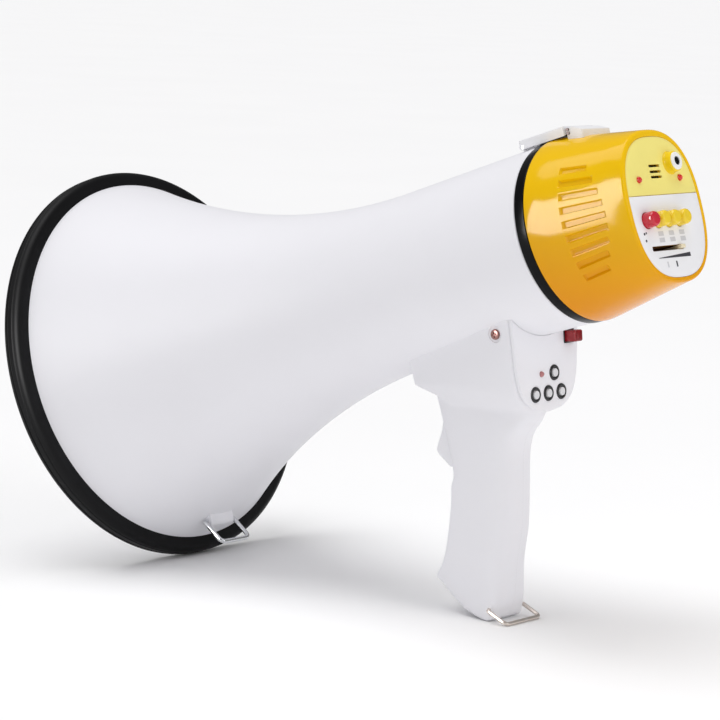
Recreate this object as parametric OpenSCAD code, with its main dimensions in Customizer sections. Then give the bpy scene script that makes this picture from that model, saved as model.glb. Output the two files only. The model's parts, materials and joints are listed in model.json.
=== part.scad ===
// Handheld megaphone with a pistol grip, in millimetres, +Z up.
// It stands on a table on two feet: the bottom of its mouth bumper and the heel of its grip.
// Parts are drawn level, along the horn's axis (x = 0 at the mouth, x grows to the rear),
// and settle() tips the whole assembly to its resting pose.

/* [Horn] */
// Outer diameter over the mouth bumper
mouth_d = 230; // [200:1:260]
// Outer radius of the body tube where the flare ends
tube_r = 47; // [44:0.5:50]
// Length of the flare, from the mouth to the body tube
flare_l = 215; // [190:1:230]
// Position of the body's rear end
body_l = 315.3; // [305:0.1:330]
// Growth of the tube's radius from the flare to the rear end
tube_draft = 1.6; // [0:0.1:3]
// Wall of the horn and body moulding
wall = 2.2; // [1.8:0.1:3]

/* [Rear cap] */
// Width of the black gasket between body and cap
gasket_w = 6.5; // [3:0.5:9]
// Radius of the cap where it meets the gasket
cap_r = 49.4; // [47:0.1:52]
// Length of the cap
cap_l = 54; // [45:1:65]
// Half-width of the cap's oval rear end
cap_half_w = 36; // [33:0.5:40]
// Half-height of the cap's oval rear end
cap_half_h = 42; // [39:0.5:44]
// Half-width of the rear label plates
plate_half_w = 31; // [28:0.5:33]
// Half-height of the rear label plates
plate_half_h = 37.2; // [34:0.5:39]
// Height of the line between the two label plates
plate_split = 5; // [0:0.5:8]
// Number of finger grooves on each side of the cap
grooves = 9; // [5:2:11]
// Angle from one finger groove to the next
groove_pitch = 9.5; // [9:0.1:11]

/* [Controls] */
// Diameter of the four mode keys
key_d = 8.3; // [7:0.1:8.6]
// Spacing of the mode keys
key_pitch = 9.5; // [9.3:0.1:11]
// How far a mode key stands out
key_proud = 6; // [4:0.5:9]
// Travel of the volume slider
volume_travel = 22; // [16:1:22]
// Bore of the microphone socket, for a 3.5 mm plug
jack_bore_d = 3.6; // [3.5:0.05:3.8]
// Diameter of the player buttons
player_d = 4.6; // [4:0.1:5]
// Travel of the player buttons
player_travel = 0.8; // [0.4:0.1:1]
// Travel of the red lock button
lock_travel = 3; // [2:0.5:4]

/* [Handle] */
// Full thickness of the grip
grip_t = 28; // [26:0.5:32]
// Width of the trigger
trigger_w = 20; // [16:0.5:21]
// Half-width of the control panel at its top
panel_half_w = 30.5; // [28:0.5:32]
// Height of the control panel down its slope
panel_h = 52.8; // [48:0.5:56]

/* [Wire rings] */
// Diameter of the bail's wire
bail_wire = 2.6; // [2:0.1:3]
// Length of the bail
bail_l = 17; // [14:0.5:20]
// Diameter of the strap loop's wire
loop_wire = 2.2; // [1.8:0.1:2.6]
// Length of the strap loop
loop_l = 14; // [12:0.5:24]

/* [Hidden] */
// Overlap that keeps two faces from lying in one plane, and the facets of large and small circles
eps = 0.01;
smooth = 96;
small = 32;

// Horn
bumper_front = -7;
bumper_back = 6.2;
bumper_lip = 11.5;
bumper_round = 4;
edge_x = -2;
mouth_r = mouth_d / 2;
horn_edge_r = mouth_r - 5;
flare_rise = horn_edge_r - tube_r;
neck_r = 44.6;
neck_l = 11;
flange_x = 205;
flange_t = 3;
lead_hole_x = 240;

// Cap
cap_x = body_l + gasket_w;
rear_x = cap_x + cap_l;
cap_wall = 2.4;
plate_t = 1.2;
plate_z = -1.4;
key_z = -8;
key_y0 = -19.5;
mic_y = -2;
mic_z = [20.3, 17.2, 14.4];
jack_y = 12.5;
jack_z = 21.3;
jack_proud = 4;
led_y = 18.5;
led_z = 13.3;
volume_y = -6;
volume_z = -22.8;
slot_l = 28.6;
slot_h = 2.6;
groove_x = cap_x + 19.5;
groove_l = 23;
groove_w = 3.4;
groove_depth = 1.5;
groove_drop = 1;
post_y = 26;
post_z = 2;
post_r = 3;
board_x = rear_x - 16;
board_t = 1.6;
board_screw_r = 1.2;
mic_x = rear_x - 12;
mic_r = 5.6;
mic_slot = [10, 1.4];
key_gap = 0.3;
led_r = 1.7;
jack_r = 3;
jack_ring_r = 4.7;
jack_boss_r = 5.4;
jack_depth = 10.5;

// Latch
latch_w = 28;
latch_wall = 2.6;
latch_roof_t = 1.5;
latch_pivot = [305.5, 49.4];
latch_roof_z = latch_pivot[1] + 2.2;
latch_pin_r = 1.1;
latch_boss_r = 1.8;
ear_r = 1.9;
ear_t = 2.4;
ear_y = 8.2;
keeper_x = 334.2;
keeper_l = 10;
keeper_half = 12.6;
keeper_top = 51.7;
keeper_pin_r = 0.8;
keeper_pin_x = keeper_x + 1.4;
keeper_pin_z = [48.7, 50.7];

// Handle: side outline of the grip, front from top to toe, base to heel, back up
panel_top = [285.5, -37];
panel_tilt = 12.6;
panel_t = 2;
heel = [213.5, -185.3];
heel_r = 5;
grip_front = [[208.5, -66], [208.5, -104.8], [204.8, -114], [202, -123], [197, -135],
    [191.2, -147], [186.5, -154], [180.5, -160]];
grip_base = [[184, -164.5], [187.3, -170], [192.6, -177.3], [198.6, -183], [206, -187.9]];
grip_back = [[223.5, -180], [230.5, -162], [239, -144.5], [246.5, -121], [251.5, -105],
    [257.5, -95.5], [268, -87], [268, -66]];
grip_wall = 2.6;
hollow_outline = [[213, -66], [213, -104], [208.5, -116], [206, -126], [200.5, -138],
    [194.6, -149.5], [187.2, -161], [196, -173.8], [219, -173.8], [226, -160], [234.4, -143],
    [241.8, -120], [247, -103], [254, -91], [262, -84.5], [262, -66]];
trigger_pivot = [217, -74];
trigger_pin_r = 1.5;
spring_z = -88;
lock_y = 20.5;
lock_z = -13.2;
lock_half = [3.6, 3.1];
lock_frame = [4.4, 3.7];
player_y = [-11.5, 0, 11.5, 6];
player_z = [-42.3, -42.3, -42.3, -31.8];
side_screw = [271.5, -43];
screw_spots = [[236, -110], [226, -150], [206, -168]];
screw_r = 1.5;

// Resting pose: both feet touch the table
toe_foot = [bumper_front + bumper_round, -(mouth_r - bumper_round)];
foot_gap = heel - toe_foot;
tilt = atan2(-foot_gap[1], foot_gap[0])
    - asin((bumper_round - heel_r) / norm(foot_gap));
ground = toe_foot[0] * sin(tilt) + toe_foot[1] * cos(tilt) - bumper_round;
front_edge = toe_foot[0] * cos(tilt) + toe_foot[1] * sin(tilt) - bumper_round;
back_edge = rear_x * cos(tilt) + (plate_half_h - plate_z) * sin(tilt);
middle = (front_edge + back_edge) / 2;

// Bail and loop
bail_pivot = [21.5, -(horn_r(21.5) + 1.6)];
bail_swing = 36;
bail_half = 12;
loop_pivot = [215, -184];
loop_half = grip_t / 2 + 1.4;
loop_pivot_h = loop_pivot[0] * sin(tilt) + loop_pivot[1] * cos(tilt) - ground;
loop_swing = tilt + asin((loop_pivot_h - loop_wire / 2 - 0.2) / loop_l);

function horn_r(x) = tube_r + (x < flare_l ? flare_rise * pow(1 - x / flare_l, 2)
    : tube_draft * (x - flare_l) / (body_l - flare_l));
function steps(a, b, n) = [for (i = [0:n]) a + (b - a) * i / n];
function egg(w, h, power = 2.6, n = 48) = [for (i = [0:n - 1]) let (a = 360 * i / n)
    [w * sign(cos(a)) * pow(abs(cos(a)), 2 / power),
     h * sign(sin(a)) * pow(abs(sin(a)), 2 / power)]];
function egg_r(a) = pow(pow(abs(cos(a)) / cap_half_w, 2.3)
    + pow(abs(sin(a)) / cap_half_h, 2.3), -1 / 2.3);
function panel_w(t) = panel_half_w * (1 - 0.17 * t) * sqrt(max(0, 1 - pow(t, 7)));
function arc_points(c, r, a, b, n) = [for (i = [0:n]) let (t = a + (b - a) * i / n)
    [c[0] + r * cos(t), c[1] + r * sin(t)]];

// Tips the level assembly to its resting pose
module settle() {
    translate([-middle, 0, -ground]) rotate([0, -tilt, 0]) children();
}

// Turns a shape drawn along +Z onto the horn's axis; its -X side becomes the top
module along_axis(x = 0) {
    translate([x, 0, 0]) rotate([0, 90, 0]) children();
}

// A round bar along the horn's axis, at a point of the rear face
module rod_x(x0, x1, y, z, r, fn = small) {
    translate([x0, y, z]) rotate([0, 90, 0]) cylinder(h = x1 - x0, r = r, $fn = fn);
}

// A round bar across the part
module rod_y(x, z, y0, y1, r, fn = small) {
    translate([x, y0, z]) rotate([-90, 0, 0]) cylinder(h = y1 - y0, r = r, $fn = fn);
}

// Extrudes a side outline given in X and Z, from y0 to y1
module side_plate(y0, y1) {
    translate([0, y1, 0]) rotate([90, 0, 0]) linear_extrude(y1 - y0) children();
}

// An upright plate, drawn in Y and Z, from x0 to x1
module rear_plate(x0, x1) {
    translate([x0, 0, 0]) rotate([90, 0, 90]) linear_extrude(x1 - x0) children();
}

// The sloping panel's own frame: +X out of the panel, +Z up the slope, 0 at its top
module on_panel() {
    translate([panel_top[0], 0, panel_top[1]]) rotate([0, panel_tilt, 0]) children();
}

module ring(x0, x1, r_out, r_in) {
    along_axis(x0) difference() {
        cylinder(h = x1 - x0, r = r_out, $fn = smooth);
        translate([0, 0, -1]) cylinder(h = x1 - x0 + 2, r = r_in, $fn = smooth);
    }
}

// ---- Horn ----

module horn_outline(skin = 0) {
    flare = steps(edge_x, flare_l, 36);
    outer = concat([for (x = flare) [horn_r(x) - skin, x]], [[horn_r(body_l) - skin, body_l]]);
    polygon(concat([[0, edge_x - (skin > 0 ? 1 : 0)]],
        skin > 0 ? [[horn_r(edge_x) - skin, edge_x - 1]] : [],
        outer,
        skin > 0 ? [[horn_r(body_l) - skin, body_l + 1], [0, body_l + 1]] : [[0, body_l]]));
}

module horn_solid(skin = 0) {
    along_axis() rotate_extrude($fn = smooth) horn_outline(skin);
}

module horn_shell() {
    color("white") difference() {
        union() {
            difference() {
                horn_solid();
                horn_solid(wall);
            }
            ring(body_l - 4, body_l + neck_l, neck_r, neck_r - 2);
            ring(body_l - 4, body_l - 0.8, horn_r(body_l) - 1, neck_r - 2);
            ring(flange_x + flange_t, flange_x + flange_t + 3, horn_r(flange_x) - 1, 38);
        }
        // Window for the cap's tongue
        translate([body_l + 3, -11, -neck_r - 1]) cube([neck_l, 22, 6]);
        // Passage for the wires into the grip
        translate([lead_hole_x, 0, -tube_r - 5]) cylinder(h = 12, r = 5, $fn = small);
    }
}

module bumper_outline() {
    r = bumper_round;
    w = bumper_back - bumper_front;
    difference() {
        union() {
            translate([mouth_r - bumper_lip, bumper_front + r]) square([bumper_lip, w - 2 * r]);
            translate([mouth_r - bumper_lip + r, bumper_front]) square([bumper_lip - 2 * r, w]);
            for (x = [mouth_r - bumper_lip + r, mouth_r - r], y = [bumper_front + r, bumper_back - r])
                translate([x, y]) circle(r = r, $fn = small);
        }
        difference() {
            horn_outline();
            horn_outline(wall);
        }
    }
}

module mouth_bumper() {
    color("#1c1c1e") along_axis() difference() {
        rotate_extrude($fn = smooth) bumper_outline();
        // The inner lip stays open behind the edge of the horn
        translate([0, 0, edge_x + 6]) cylinder(h = 20, r = horn_r(4) - wall, $fn = smooth);
    }
}

// ---- Folded horn inside the bell ----

tube_x0 = 96;
tube_wall = 1.8;
cup_x0 = 72;
cup_x1 = 152;
function tube_bore(x) = 9 + 9 * pow((flange_x - x) / (flange_x - tube_x0), 2);
function cup_r(x) = 34 * pow(sin(90 * min(1, (x - cup_x0 + 1) / 52)), 0.7);

module throat_tube() {
    xs = steps(tube_x0, flange_x, 14);
    color("white") along_axis() rotate_extrude($fn = smooth)
        polygon(concat([for (x = xs) [tube_bore(x), x]],
            [for (i = [14:-1:0]) [tube_bore(xs[i]) + tube_wall, xs[i]]]));
}

module reflector_cup() {
    xs = steps(cup_x0, cup_x1, 20);
    inner = [for (i = [20:-1:0]) if (xs[i] > cup_x0 + 3) [cup_r(xs[i]) - 2, xs[i]]];
    color("white") along_axis() rotate_extrude($fn = smooth)
        polygon(concat([[0, cup_x0]], [for (x = xs) [cup_r(x), x]], inner, [[0, cup_x0 + 4.2]]));
}

module reflector_fins() {
    color("white") difference() {
        for (i = [0:2]) rotate([60 + 120 * i, 0, 0]) translate([124, -1, 0]) cube([20, 2, 31.96]);
        along_axis() cylinder(h = flange_x, r = 17, $fn = smooth);
    }
    color("white") difference() {
        ring(100, 144, 18.6, 15);
        along_axis() rotate_extrude($fn = smooth) polygon(concat(
            [for (x = steps(tube_x0, flange_x, 14)) [tube_bore(x) + tube_wall, x]],
            [[0, flange_x], [0, tube_x0]]));
    }
}

// ---- Driver ----

driver_screw_ring = 29;
driver_screw_r = 1.3;
housing_r = 33;
basket_r = 28;
dome_r = 18;
dome_sink = 10;
film_t = 0.6;
plate_x = flange_x + 17;
magnet_x0 = flange_x + 20;
magnet_x1 = flange_x + 32;
magnet_r = 30;
pole_r = 12;

module driver_flange() {
    color("#d8d8da") difference() {
        ring(flange_x, flange_x + flange_t, horn_r(flange_x) - wall, tube_bore(flange_x));
        for (i = [0:2]) rotate([30 + 120 * i, 0, 0])
            rod_x(flange_x - 1, flange_x + 6, 0, driver_screw_ring, driver_screw_r + 0.4);
    }
}

module driver_housing() {
    color("#2b2b2e") difference() {
        union() {
            ring(flange_x + flange_t, flange_x + 8, housing_r, tube_bore(flange_x));
            ring(flange_x + 8, plate_x, basket_r, basket_r - 6);
        }
        for (i = [0:2]) rotate([30 + 120 * i, 0, 0])
            rod_x(flange_x, flange_x + 12, 0, driver_screw_ring, driver_screw_r);
    }
}

module driver_diaphragm() {
    color("#9a5a2a") along_axis(flange_x + 9) difference() {
        union() {
            cylinder(h = film_t, r = basket_r - 6.4, $fn = smooth);
            intersection() {
                translate([0, 0, -dome_sink]) sphere(r = dome_r, $fn = smooth);
                cylinder(h = 9, r = dome_r - 3, $fn = smooth);
            }
        }
        translate([0, 0, -dome_sink]) sphere(r = dome_r - film_t, $fn = smooth);
    }
}

module driver_magnet() {
    color("#3a3a3c") ring(magnet_x0, magnet_x1, magnet_r, pole_r + 3);
}

module driver_yoke() {
    color("#b8bcc0") {
        ring(plate_x, magnet_x0, magnet_r - 1, pole_r + 1.4);
        along_axis(magnet_x1) cylinder(h = 4, r = magnet_r - 1, $fn = smooth);
        along_axis(magnet_x0 - 1) cylinder(h = 13, r = pole_r, $fn = smooth);
    }
}

module driver_screws() {
    color("silver") for (i = [0:2]) rotate([30 + 120 * i, 0, 0]) {
        rod_x(flange_x, flange_x + 11, 0, driver_screw_ring, driver_screw_r);
        rod_x(flange_x - 1.6, flange_x, 0, driver_screw_ring, 2 * driver_screw_r + 0.2);
    }
}

// ---- Batteries ----

cell_r = 13.1;
cell_l = 49;
cell_ring = 31;
cell_x = 254;
cell_tip = 1.6;
contact_t = 0.8;
tray_t = 2.4;
tray_r = 45;
tray_hub_r = 9;
tray_bore_r = 6;

module battery_tray() {
    color("#26262a") {
        for (x = [cell_x - contact_t - tray_t, cell_x + cell_l + contact_t])
            ring(x, x + tray_t, tray_r, tray_bore_r);
        ring(cell_x - contact_t - tray_t, cell_x + cell_l + contact_t + tray_t, tray_hub_r, tray_bore_r);
        for (i = [0:5]) rotate([60 * i + 30, 0, 0])
            translate([cell_x - 2, -tray_t / 2, tray_hub_r - 0.4]) cube([cell_l + 4, tray_t, 13.4]);
    }
}

module battery_cells() {
    color("#3f6ea5") for (i = [0:5]) rotate([60 * i, 0, 0]) {
        rod_x(cell_x, cell_x + cell_l - cell_tip, 0, cell_ring, cell_r, smooth);
        rod_x(cell_x + cell_l - cell_tip, cell_x + cell_l, 0, cell_ring, 3.2);
    }
}

module battery_contacts() {
    color("silver") for (i = [0:5]) rotate([60 * i, 0, 0]) {
        rod_x(cell_x - contact_t, cell_x, 0, cell_ring, 6);
        rod_x(cell_x + cell_l, cell_x + cell_l + contact_t, 0, cell_ring, 4.5);
    }
}

// Two-wire lead from the driver down into the grip
module driver_lead() {
    r = 0.9;
    bend_x = lead_hole_x + 3;
    bend_z = -20;
    color("#b02020") for (y = [-1.5, 1.5]) {
        rod_x(magnet_x1 + 4, bend_x, y, bend_z, r);
        translate([bend_x, y, bend_z - 58]) cylinder(h = 58, r = r, $fn = small);
        translate([bend_x, y, bend_z]) sphere(r = r, $fn = small);
    }
}

module gasket_ring() {
    color("#151516") along_axis(body_l) rotate_extrude($fn = smooth) difference() {
        translate([neck_r, 0]) square([cap_r - 0.3 - neck_r, gasket_w - 0.1]);
        translate([cap_r + 0.5, -0.5]) rotate(45) square([1.2, 1.2], center = true);
    }
}

// ---- Rear cap ----

module cap_hull(skin = 0) {
    hull() {
        along_axis(cap_x) cylinder(h = 1, r = cap_r - skin, $fn = 72);
        along_axis(cap_x + 8) cylinder(h = 1, r = cap_r - 1 - skin, $fn = 72);
        rear_plate(rear_x - 7.5, rear_x - 6.5)
            polygon(egg(cap_half_w - skin, cap_half_h - skin, 2.3));
        translate([0, 0, plate_z / 2]) rear_plate(rear_x - 2.5 - skin, rear_x - 2 - skin)
            polygon(egg(cap_half_w - 2.2 - skin, cap_half_h - 2.6 - skin, 2.4));
        translate([0, 0, plate_z]) rear_plate(rear_x - 0.6 - skin, rear_x - skin)
            polygon(egg(plate_half_w + 1.4 - skin, plate_half_h + 1.4 - skin, 2.6));
    }
}

module plate_outline() {
    translate([0, plate_z]) polygon(egg(plate_half_w, plate_half_h));
}

module key_spots() {
    for (i = [0:3]) translate([0, key_y0 + key_pitch * i, key_z]) children();
}

module rear_holes(x0) {
    key_spots() rod_x(x0, rear_x + 1, 0, 0, key_d / 2 + key_gap);
    rod_x(x0, rear_x + 1, jack_y, jack_z, jack_r + 0.2);
    for (s = [-1, 1]) rod_x(x0, rear_x + 1, s * led_y, led_z, led_r + 0.05);
    for (z = mic_z) translate([x0, mic_y - mic_slot[0] / 2, z - mic_slot[1] / 2])
        cube([rear_x + 1 - x0, mic_slot[0], mic_slot[1]]);
    translate([x0, volume_y - slot_l / 2, volume_z - slot_h / 2])
        cube([rear_x + 1 - x0, slot_l, slot_h]);
}

// Tongue that hooks behind the neck's window, and the two posts of the amplifier board
module cap_inside() {
    translate([body_l + 4.5, -7, -43.6]) cube([cap_x - body_l + 5, 14, 2]);
    intersection() {
        translate([cap_x + 6, -7, -cap_r]) cube([3, 14, cap_r - 41.6]);
        cap_hull(0.5);
    }
    for (s = [-1, 1]) rod_x(board_x, rear_x - cap_wall + 0.5, s * post_y, post_z, post_r);
}

module cap_shell() {
    difference() {
        cap_hull();
        translate([-eps, 0, 0]) cap_hull(cap_wall);
        along_axis(cap_x - 1) cylinder(h = 3, r = cap_r - cap_wall, $fn = 72);
    }
}

module rear_cap() {
    color("#f3be14") difference() {
        union() {
            cap_shell();
            cap_inside();
        }
        for (s = [-1, 1]) rod_x(board_x - 1, board_x + 8, s * post_y, post_z, board_screw_r);
        rear_plate(rear_x - plate_t, rear_x + 1) plate_outline();
        rear_holes(rear_x - 12);
        // Finger grooves, longest at the widest part of each side
        for (side = [0, 180], i = [0:grooves - 1]) {
            turn = (i - (grooves - 1) / 2) * groove_pitch;
            around = turn + (side > 0 ? groove_drop : -groove_drop);
            lean = atan2(cap_r - 1 - egg_r(around), cap_l - 15);
            depth = cap_r - 1 - (groove_x - cap_x - 8) * tan(lean) - groove_depth;
            rotate([side + around, 0, 0]) translate([groove_x, depth, -groove_w / 2])
                rotate([0, 0, -lean]) cube([groove_l - 8 * pow(turn / 38, 2), 8, groove_w]);
        }
    }
}

module mic_plate() {
    color("#f7ee96") rear_plate(rear_x - plate_t, rear_x - 0.2) difference() {
        intersection() {
            plate_outline();
            translate([-50, plate_split]) square([100, 60]);
        }
        for (z = mic_z) translate([mic_y, z]) square(mic_slot, center = true);
        translate([jack_y, jack_z]) circle(r = jack_r + 0.2, $fn = small);
        for (s = [-1, 1]) translate([s * led_y, led_z]) circle(r = led_r + 0.05, $fn = small);
    }
}

module control_plate() {
    color("white") rear_plate(rear_x - plate_t, rear_x - 0.2) difference() {
        intersection() {
            plate_outline();
            translate([-50, plate_split - 60]) square([100, 60 - 0.3]);
        }
        for (i = [0:3]) translate([key_y0 + key_pitch * i, key_z])
            circle(r = key_d / 2 + key_gap, $fn = small);
        translate([volume_y - slot_l / 2, volume_z - slot_h / 2]) square([slot_l, slot_h]);
    }
}

module mic_capsule() {
    color("silver") rod_x(mic_x, mic_x + 7, mic_y, mic_z[1], mic_r);
}

module mic_boot() {
    color("#202022") difference() {
        rod_x(mic_x - 1.5, rear_x - cap_wall, mic_y, mic_z[1], mic_r + 2);
        rod_x(mic_x, rear_x, mic_y, mic_z[1], mic_r);
    }
}

module jack_boss() {
    color("#f3be14") difference() {
        union() {
            rod_x(rear_x - 0.2, rear_x + jack_proud, jack_y, jack_z, jack_boss_r);
            rod_x(rear_x - cap_wall, rear_x - 0.2, jack_y, jack_z, jack_r + 0.2);
        }
        rod_x(rear_x - 4, rear_x + jack_proud + 1, jack_y, jack_z, jack_r);
    }
}

module jack_socket() {
    color("#e8e8e8") difference() {
        union() {
            rod_x(rear_x - 10, rear_x + jack_proud, jack_y, jack_z, jack_r);
            rod_x(rear_x + jack_proud, rear_x + jack_proud + 0.8, jack_y, jack_z, jack_ring_r);
            translate([rear_x - 12, jack_y - 4.5, jack_z - 4.5]) cube([9, 9, 9]);
        }
        rod_x(rear_x - jack_depth, rear_x + jack_proud + 2, jack_y, jack_z, jack_bore_d / 2);
    }
}

module indicator_leds() {
    color("#e02010") for (s = [-1, 1]) {
        rod_x(rear_x - 6, rear_x - 0.2, s * led_y, led_z, led_r);
        translate([rear_x - 0.2, s * led_y, led_z]) sphere(r = led_r, $fn = small);
    }
}

module amp_board() {
    color("#2f7a45") difference() {
        rear_plate(board_x - board_t, board_x) translate([0, plate_z])
            polygon(egg(plate_half_w - 1, plate_half_h - 1));
        for (s = [-1, 1]) rod_x(board_x - 2, board_x + 1, s * post_y, post_z, board_screw_r);
    }
    color("#30343a") {
        translate([board_x - board_t - 8, -14, -6]) cube([8, 28, 12]);
        for (y = [-18, 18]) rod_x(board_x - board_t - 10, board_x - board_t, y, 12, 4);
    }
}

module board_screws() {
    color("silver") for (s = [-1, 1]) {
        rod_x(board_x - board_t, board_x + 7, s * post_y, post_z, board_screw_r);
        rod_x(board_x - board_t - 1.4, board_x - board_t, s * post_y, post_z, 2 * board_screw_r);
    }
}

module key_switches() {
    color("#3a3a40") key_spots() {
        difference() {
            translate([board_x, -4.2, -4.2]) cube([5, 8.4, 8.4]);
            rod_x(board_x + 1, board_x + 6, 0, 0, 2.3, small);
        }
    }
}

module mode_key(i, tint) {
    color(tint) translate([0, key_y0 + key_pitch * i, key_z]) {
        rod_x(rear_x - 5.5, rear_x + key_proud - 1, 0, 0, key_d / 2, small);
        along_tip() cylinder(h = 1, r1 = key_d / 2, r2 = key_d / 2 - 0.8, $fn = small);
        rod_x(board_x + 3.6, rear_x - 5.5, 0, 0, 1.9, small);
    }
}

module along_tip() {
    translate([rear_x + key_proud - 1, 0, 0]) rotate([0, 90, 0]) children();
}

module siren_key() mode_key(0, "#cc1428");
module talk_key() mode_key(1, "#f8cf1c");
module music_key() mode_key(2, "#f8cf1c");
module record_key() mode_key(3, "#f8cf1c");

module volume_pot() {
    color("#6b4a2a") difference() {
        translate([board_x, volume_y - 18, volume_z - 4]) cube([6.5, 36, 8]);
        translate([board_x + 1.5, volume_y - 15, volume_z - 1.6]) cube([6, 30, 3.2]);
    }
}

module volume_slider() {
    rest = volume_y + volume_travel / 2;
    color("#f4ead0") {
        translate([board_x + 2, rest - 1.2, volume_z - 0.9]) cube([rear_x - board_x - 3, 2.4, 1.8]);
        translate([rear_x - 1.4, rest - 2, volume_z - 1]) cube([3.2, 4, 2]);
    }
}

// ---- Latch ----

module arch(x0, x1, r_in, r_out, half) {
    intersection() {
        ring(x0, x1, r_out, r_in);
        translate([x0, -half, 20]) cube([x1 - x0, 2 * half, 60]);
    }
}

// White wedge on the cap, behind the end of the lever
module latch_keeper() {
    color("white") difference() {
        translate([keeper_x, -keeper_half, 43]) cube([keeper_l, 2 * keeper_half, keeper_top - 43]);
        cap_hull();
        translate([keeper_x + 3.6, -20, keeper_top]) rotate([0, 26, 0]) cube([keeper_l, 40, 8]);
        for (z = keeper_pin_z) rod_y(keeper_pin_x, z, -20, 20, keeper_pin_r);
    }
}

module keeper_pin() {
    color("#5a4a48") for (z = keeper_pin_z)
        rod_y(keeper_pin_x, z, -keeper_half - 0.8, keeper_half + 0.8, keeper_pin_r);
}

// A shape on the left, and its mirror image on the right
module both_sides() {
    children();
    mirror([0, 1, 0]) children();
}

// Saddle with two ears, open between them
module latch_base() {
    x0 = latch_pivot[0] - ear_r;
    color("white") difference() {
        union() {
            arch(x0, body_l - 0.5, horn_r(body_l) - 1.6, horn_r(body_l) + 1.6, ear_y + ear_t);
            both_sides() {
                rod_y(latch_pivot[0], latch_pivot[1], ear_y, ear_y + ear_t, ear_r);
                translate([x0, ear_y, 45]) cube([2 * ear_r, ear_t, latch_pivot[1] - 45]);
            }
        }
        rod_y(latch_pivot[0], latch_pivot[1], -20, 20, latch_pin_r);
        translate([x0 - 1, -ear_y, 40]) cube([2 * ear_r + 1.6, 2 * ear_y, 20]);
        horn_solid();
    }
}

module latch_pin() {
    color("#8a8a8e") both_sides()
        rod_y(latch_pivot[0], latch_pivot[1], ear_y, latch_w / 2 - 0.4, latch_pin_r);
}

// Channel-shaped lever: a roof, and two side walls that turn on the pins and reach down
// over the gasket
module latch_lever() {
    x0 = latch_pivot[0] - 1.6;
    x1 = keeper_x - 0.8;
    side_y = latch_w / 2 - latch_wall;
    color("white") difference() {
        union() {
            translate([x0, -latch_w / 2, latch_roof_z]) cube([x1 - x0, latch_w, latch_roof_t]);
            both_sides() {
                rod_y(latch_pivot[0], latch_pivot[1], side_y, latch_w / 2, latch_boss_r);
                translate([x0, side_y, latch_pivot[1]])
                    cube([x1 - x0, latch_wall, latch_roof_z - latch_pivot[1] + 0.1]);
                translate([latch_pivot[0], side_y, latch_pivot[1] - 1.4])
                    cube([x1 - latch_pivot[0], latch_wall, 2]);
                translate([body_l - 2, side_y, 46.6]) cube([x1 - body_l + 2, latch_wall, 4]);
            }
        }
        rod_y(latch_pivot[0], latch_pivot[1], -20, 20, latch_pin_r + 0.05);
        along_axis(body_l - 4) cylinder(h = 40, r = cap_r + 0.5, $fn = smooth);
    }
}

// ---- Handle ----

module grip_outline() {
    polygon(concat(grip_front, grip_base, arc_points(heel, heel_r, 250, 345, 5), grip_back));
}

module panel_outline(inset = 0) {
    n = 16;
    right = [for (i = [0:n]) [max(0, panel_w(i / n) - inset), -i / n * (panel_h - inset)]];
    left = [for (i = [n - 1:-1:0]) [-max(0, panel_w(i / n) - inset), -i / n * (panel_h - inset)]];
    polygon(concat(right, left));
}

module block_hull(skin = 0) {
    hull() {
        on_panel() rear_plate(-panel_t - 1, -panel_t) panel_outline(skin);
        on_panel() translate([0, 0, 8]) rear_plate(-panel_t - 1, -panel_t)
            square([2 * (panel_half_w - skin), 8], center = true);
        translate([203 + skin, -19 + skin, -56.5 + skin]) cube([1, 38 - 2 * skin, 24 - skin]);
        translate([223, -15 + skin, -71.5 + skin]) cube([1, 30 - 2 * skin, 20]);
    }
}

module grip_body() {
    block_hull();
    side_plate(-grip_t / 2, grip_t / 2) grip_outline();
}

module grip_hollow() {
    block_hull(grip_wall);
    side_plate(-grip_t / 2 + grip_wall, grip_t / 2 - grip_wall) polygon(hollow_outline);
}

// Half of the handle: side is 1 for the left half, -1 for the right half
module handle_half(side) {
    difference() {
        intersection() {
            union() {
                difference() {
                    grip_body();
                    grip_hollow();
                }
                intersection() {
                    grip_body();
                    union() {
                        for (s = screw_spots) rod_y(s[0], s[1], -grip_t / 2, grip_t / 2, 3.6);
                        rod_y(trigger_pivot[0], trigger_pivot[1], -13, 13, 3.4);
                        // Seat of the trigger's spring, with the switch below it
                        translate([228, -13, -93]) cube([2, 26, 10]);
                        translate([228, -13, -107]) cube([9, 26, 2]);
                    }
                }
            }
            translate([150, side > 0 ? 0 : -60, -220]) cube([160, 60, 200]);
        }
        horn_solid();
        // Trigger slot
        side_plate(-trigger_w / 2 - 0.5, trigger_w / 2 + 0.5) polygon([[190, -72], [213, -69.6],
            [224, -69.6], [227.5, -82], [227.5, -97], [219, -105.2], [190, -105.2]]);
        rod_y(trigger_pivot[0], trigger_pivot[1], -13, 13, trigger_pin_r);
        for (s = screw_spots) {
            rod_y(s[0], s[1], 3 - grip_t / 2, grip_t, screw_r);
            rod_y(s[0], s[1], grip_t / 2 - 3, grip_t, 2.9);
        }
        for (s = [-1, 1]) {
            rod_y(loop_pivot[0], loop_pivot[1], s > 0 ? 8 : -20, s > 0 ? 20 : -8,
                loop_wire / 2 + 0.06);
            rod_y(side_screw[0], side_screw[1], s > 0 ? 20 : -40, s > 0 ? 40 : -20, 1.6);
            rod_y(side_screw[0], side_screw[1], s > 0 ? 27.6 : -40, s > 0 ? 40 : -27.6, 4.2);
        }
    }
}

module grip_left() {
    color("white") handle_half(1);
}

module grip_right() {
    color("white") handle_half(-1);
}

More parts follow.
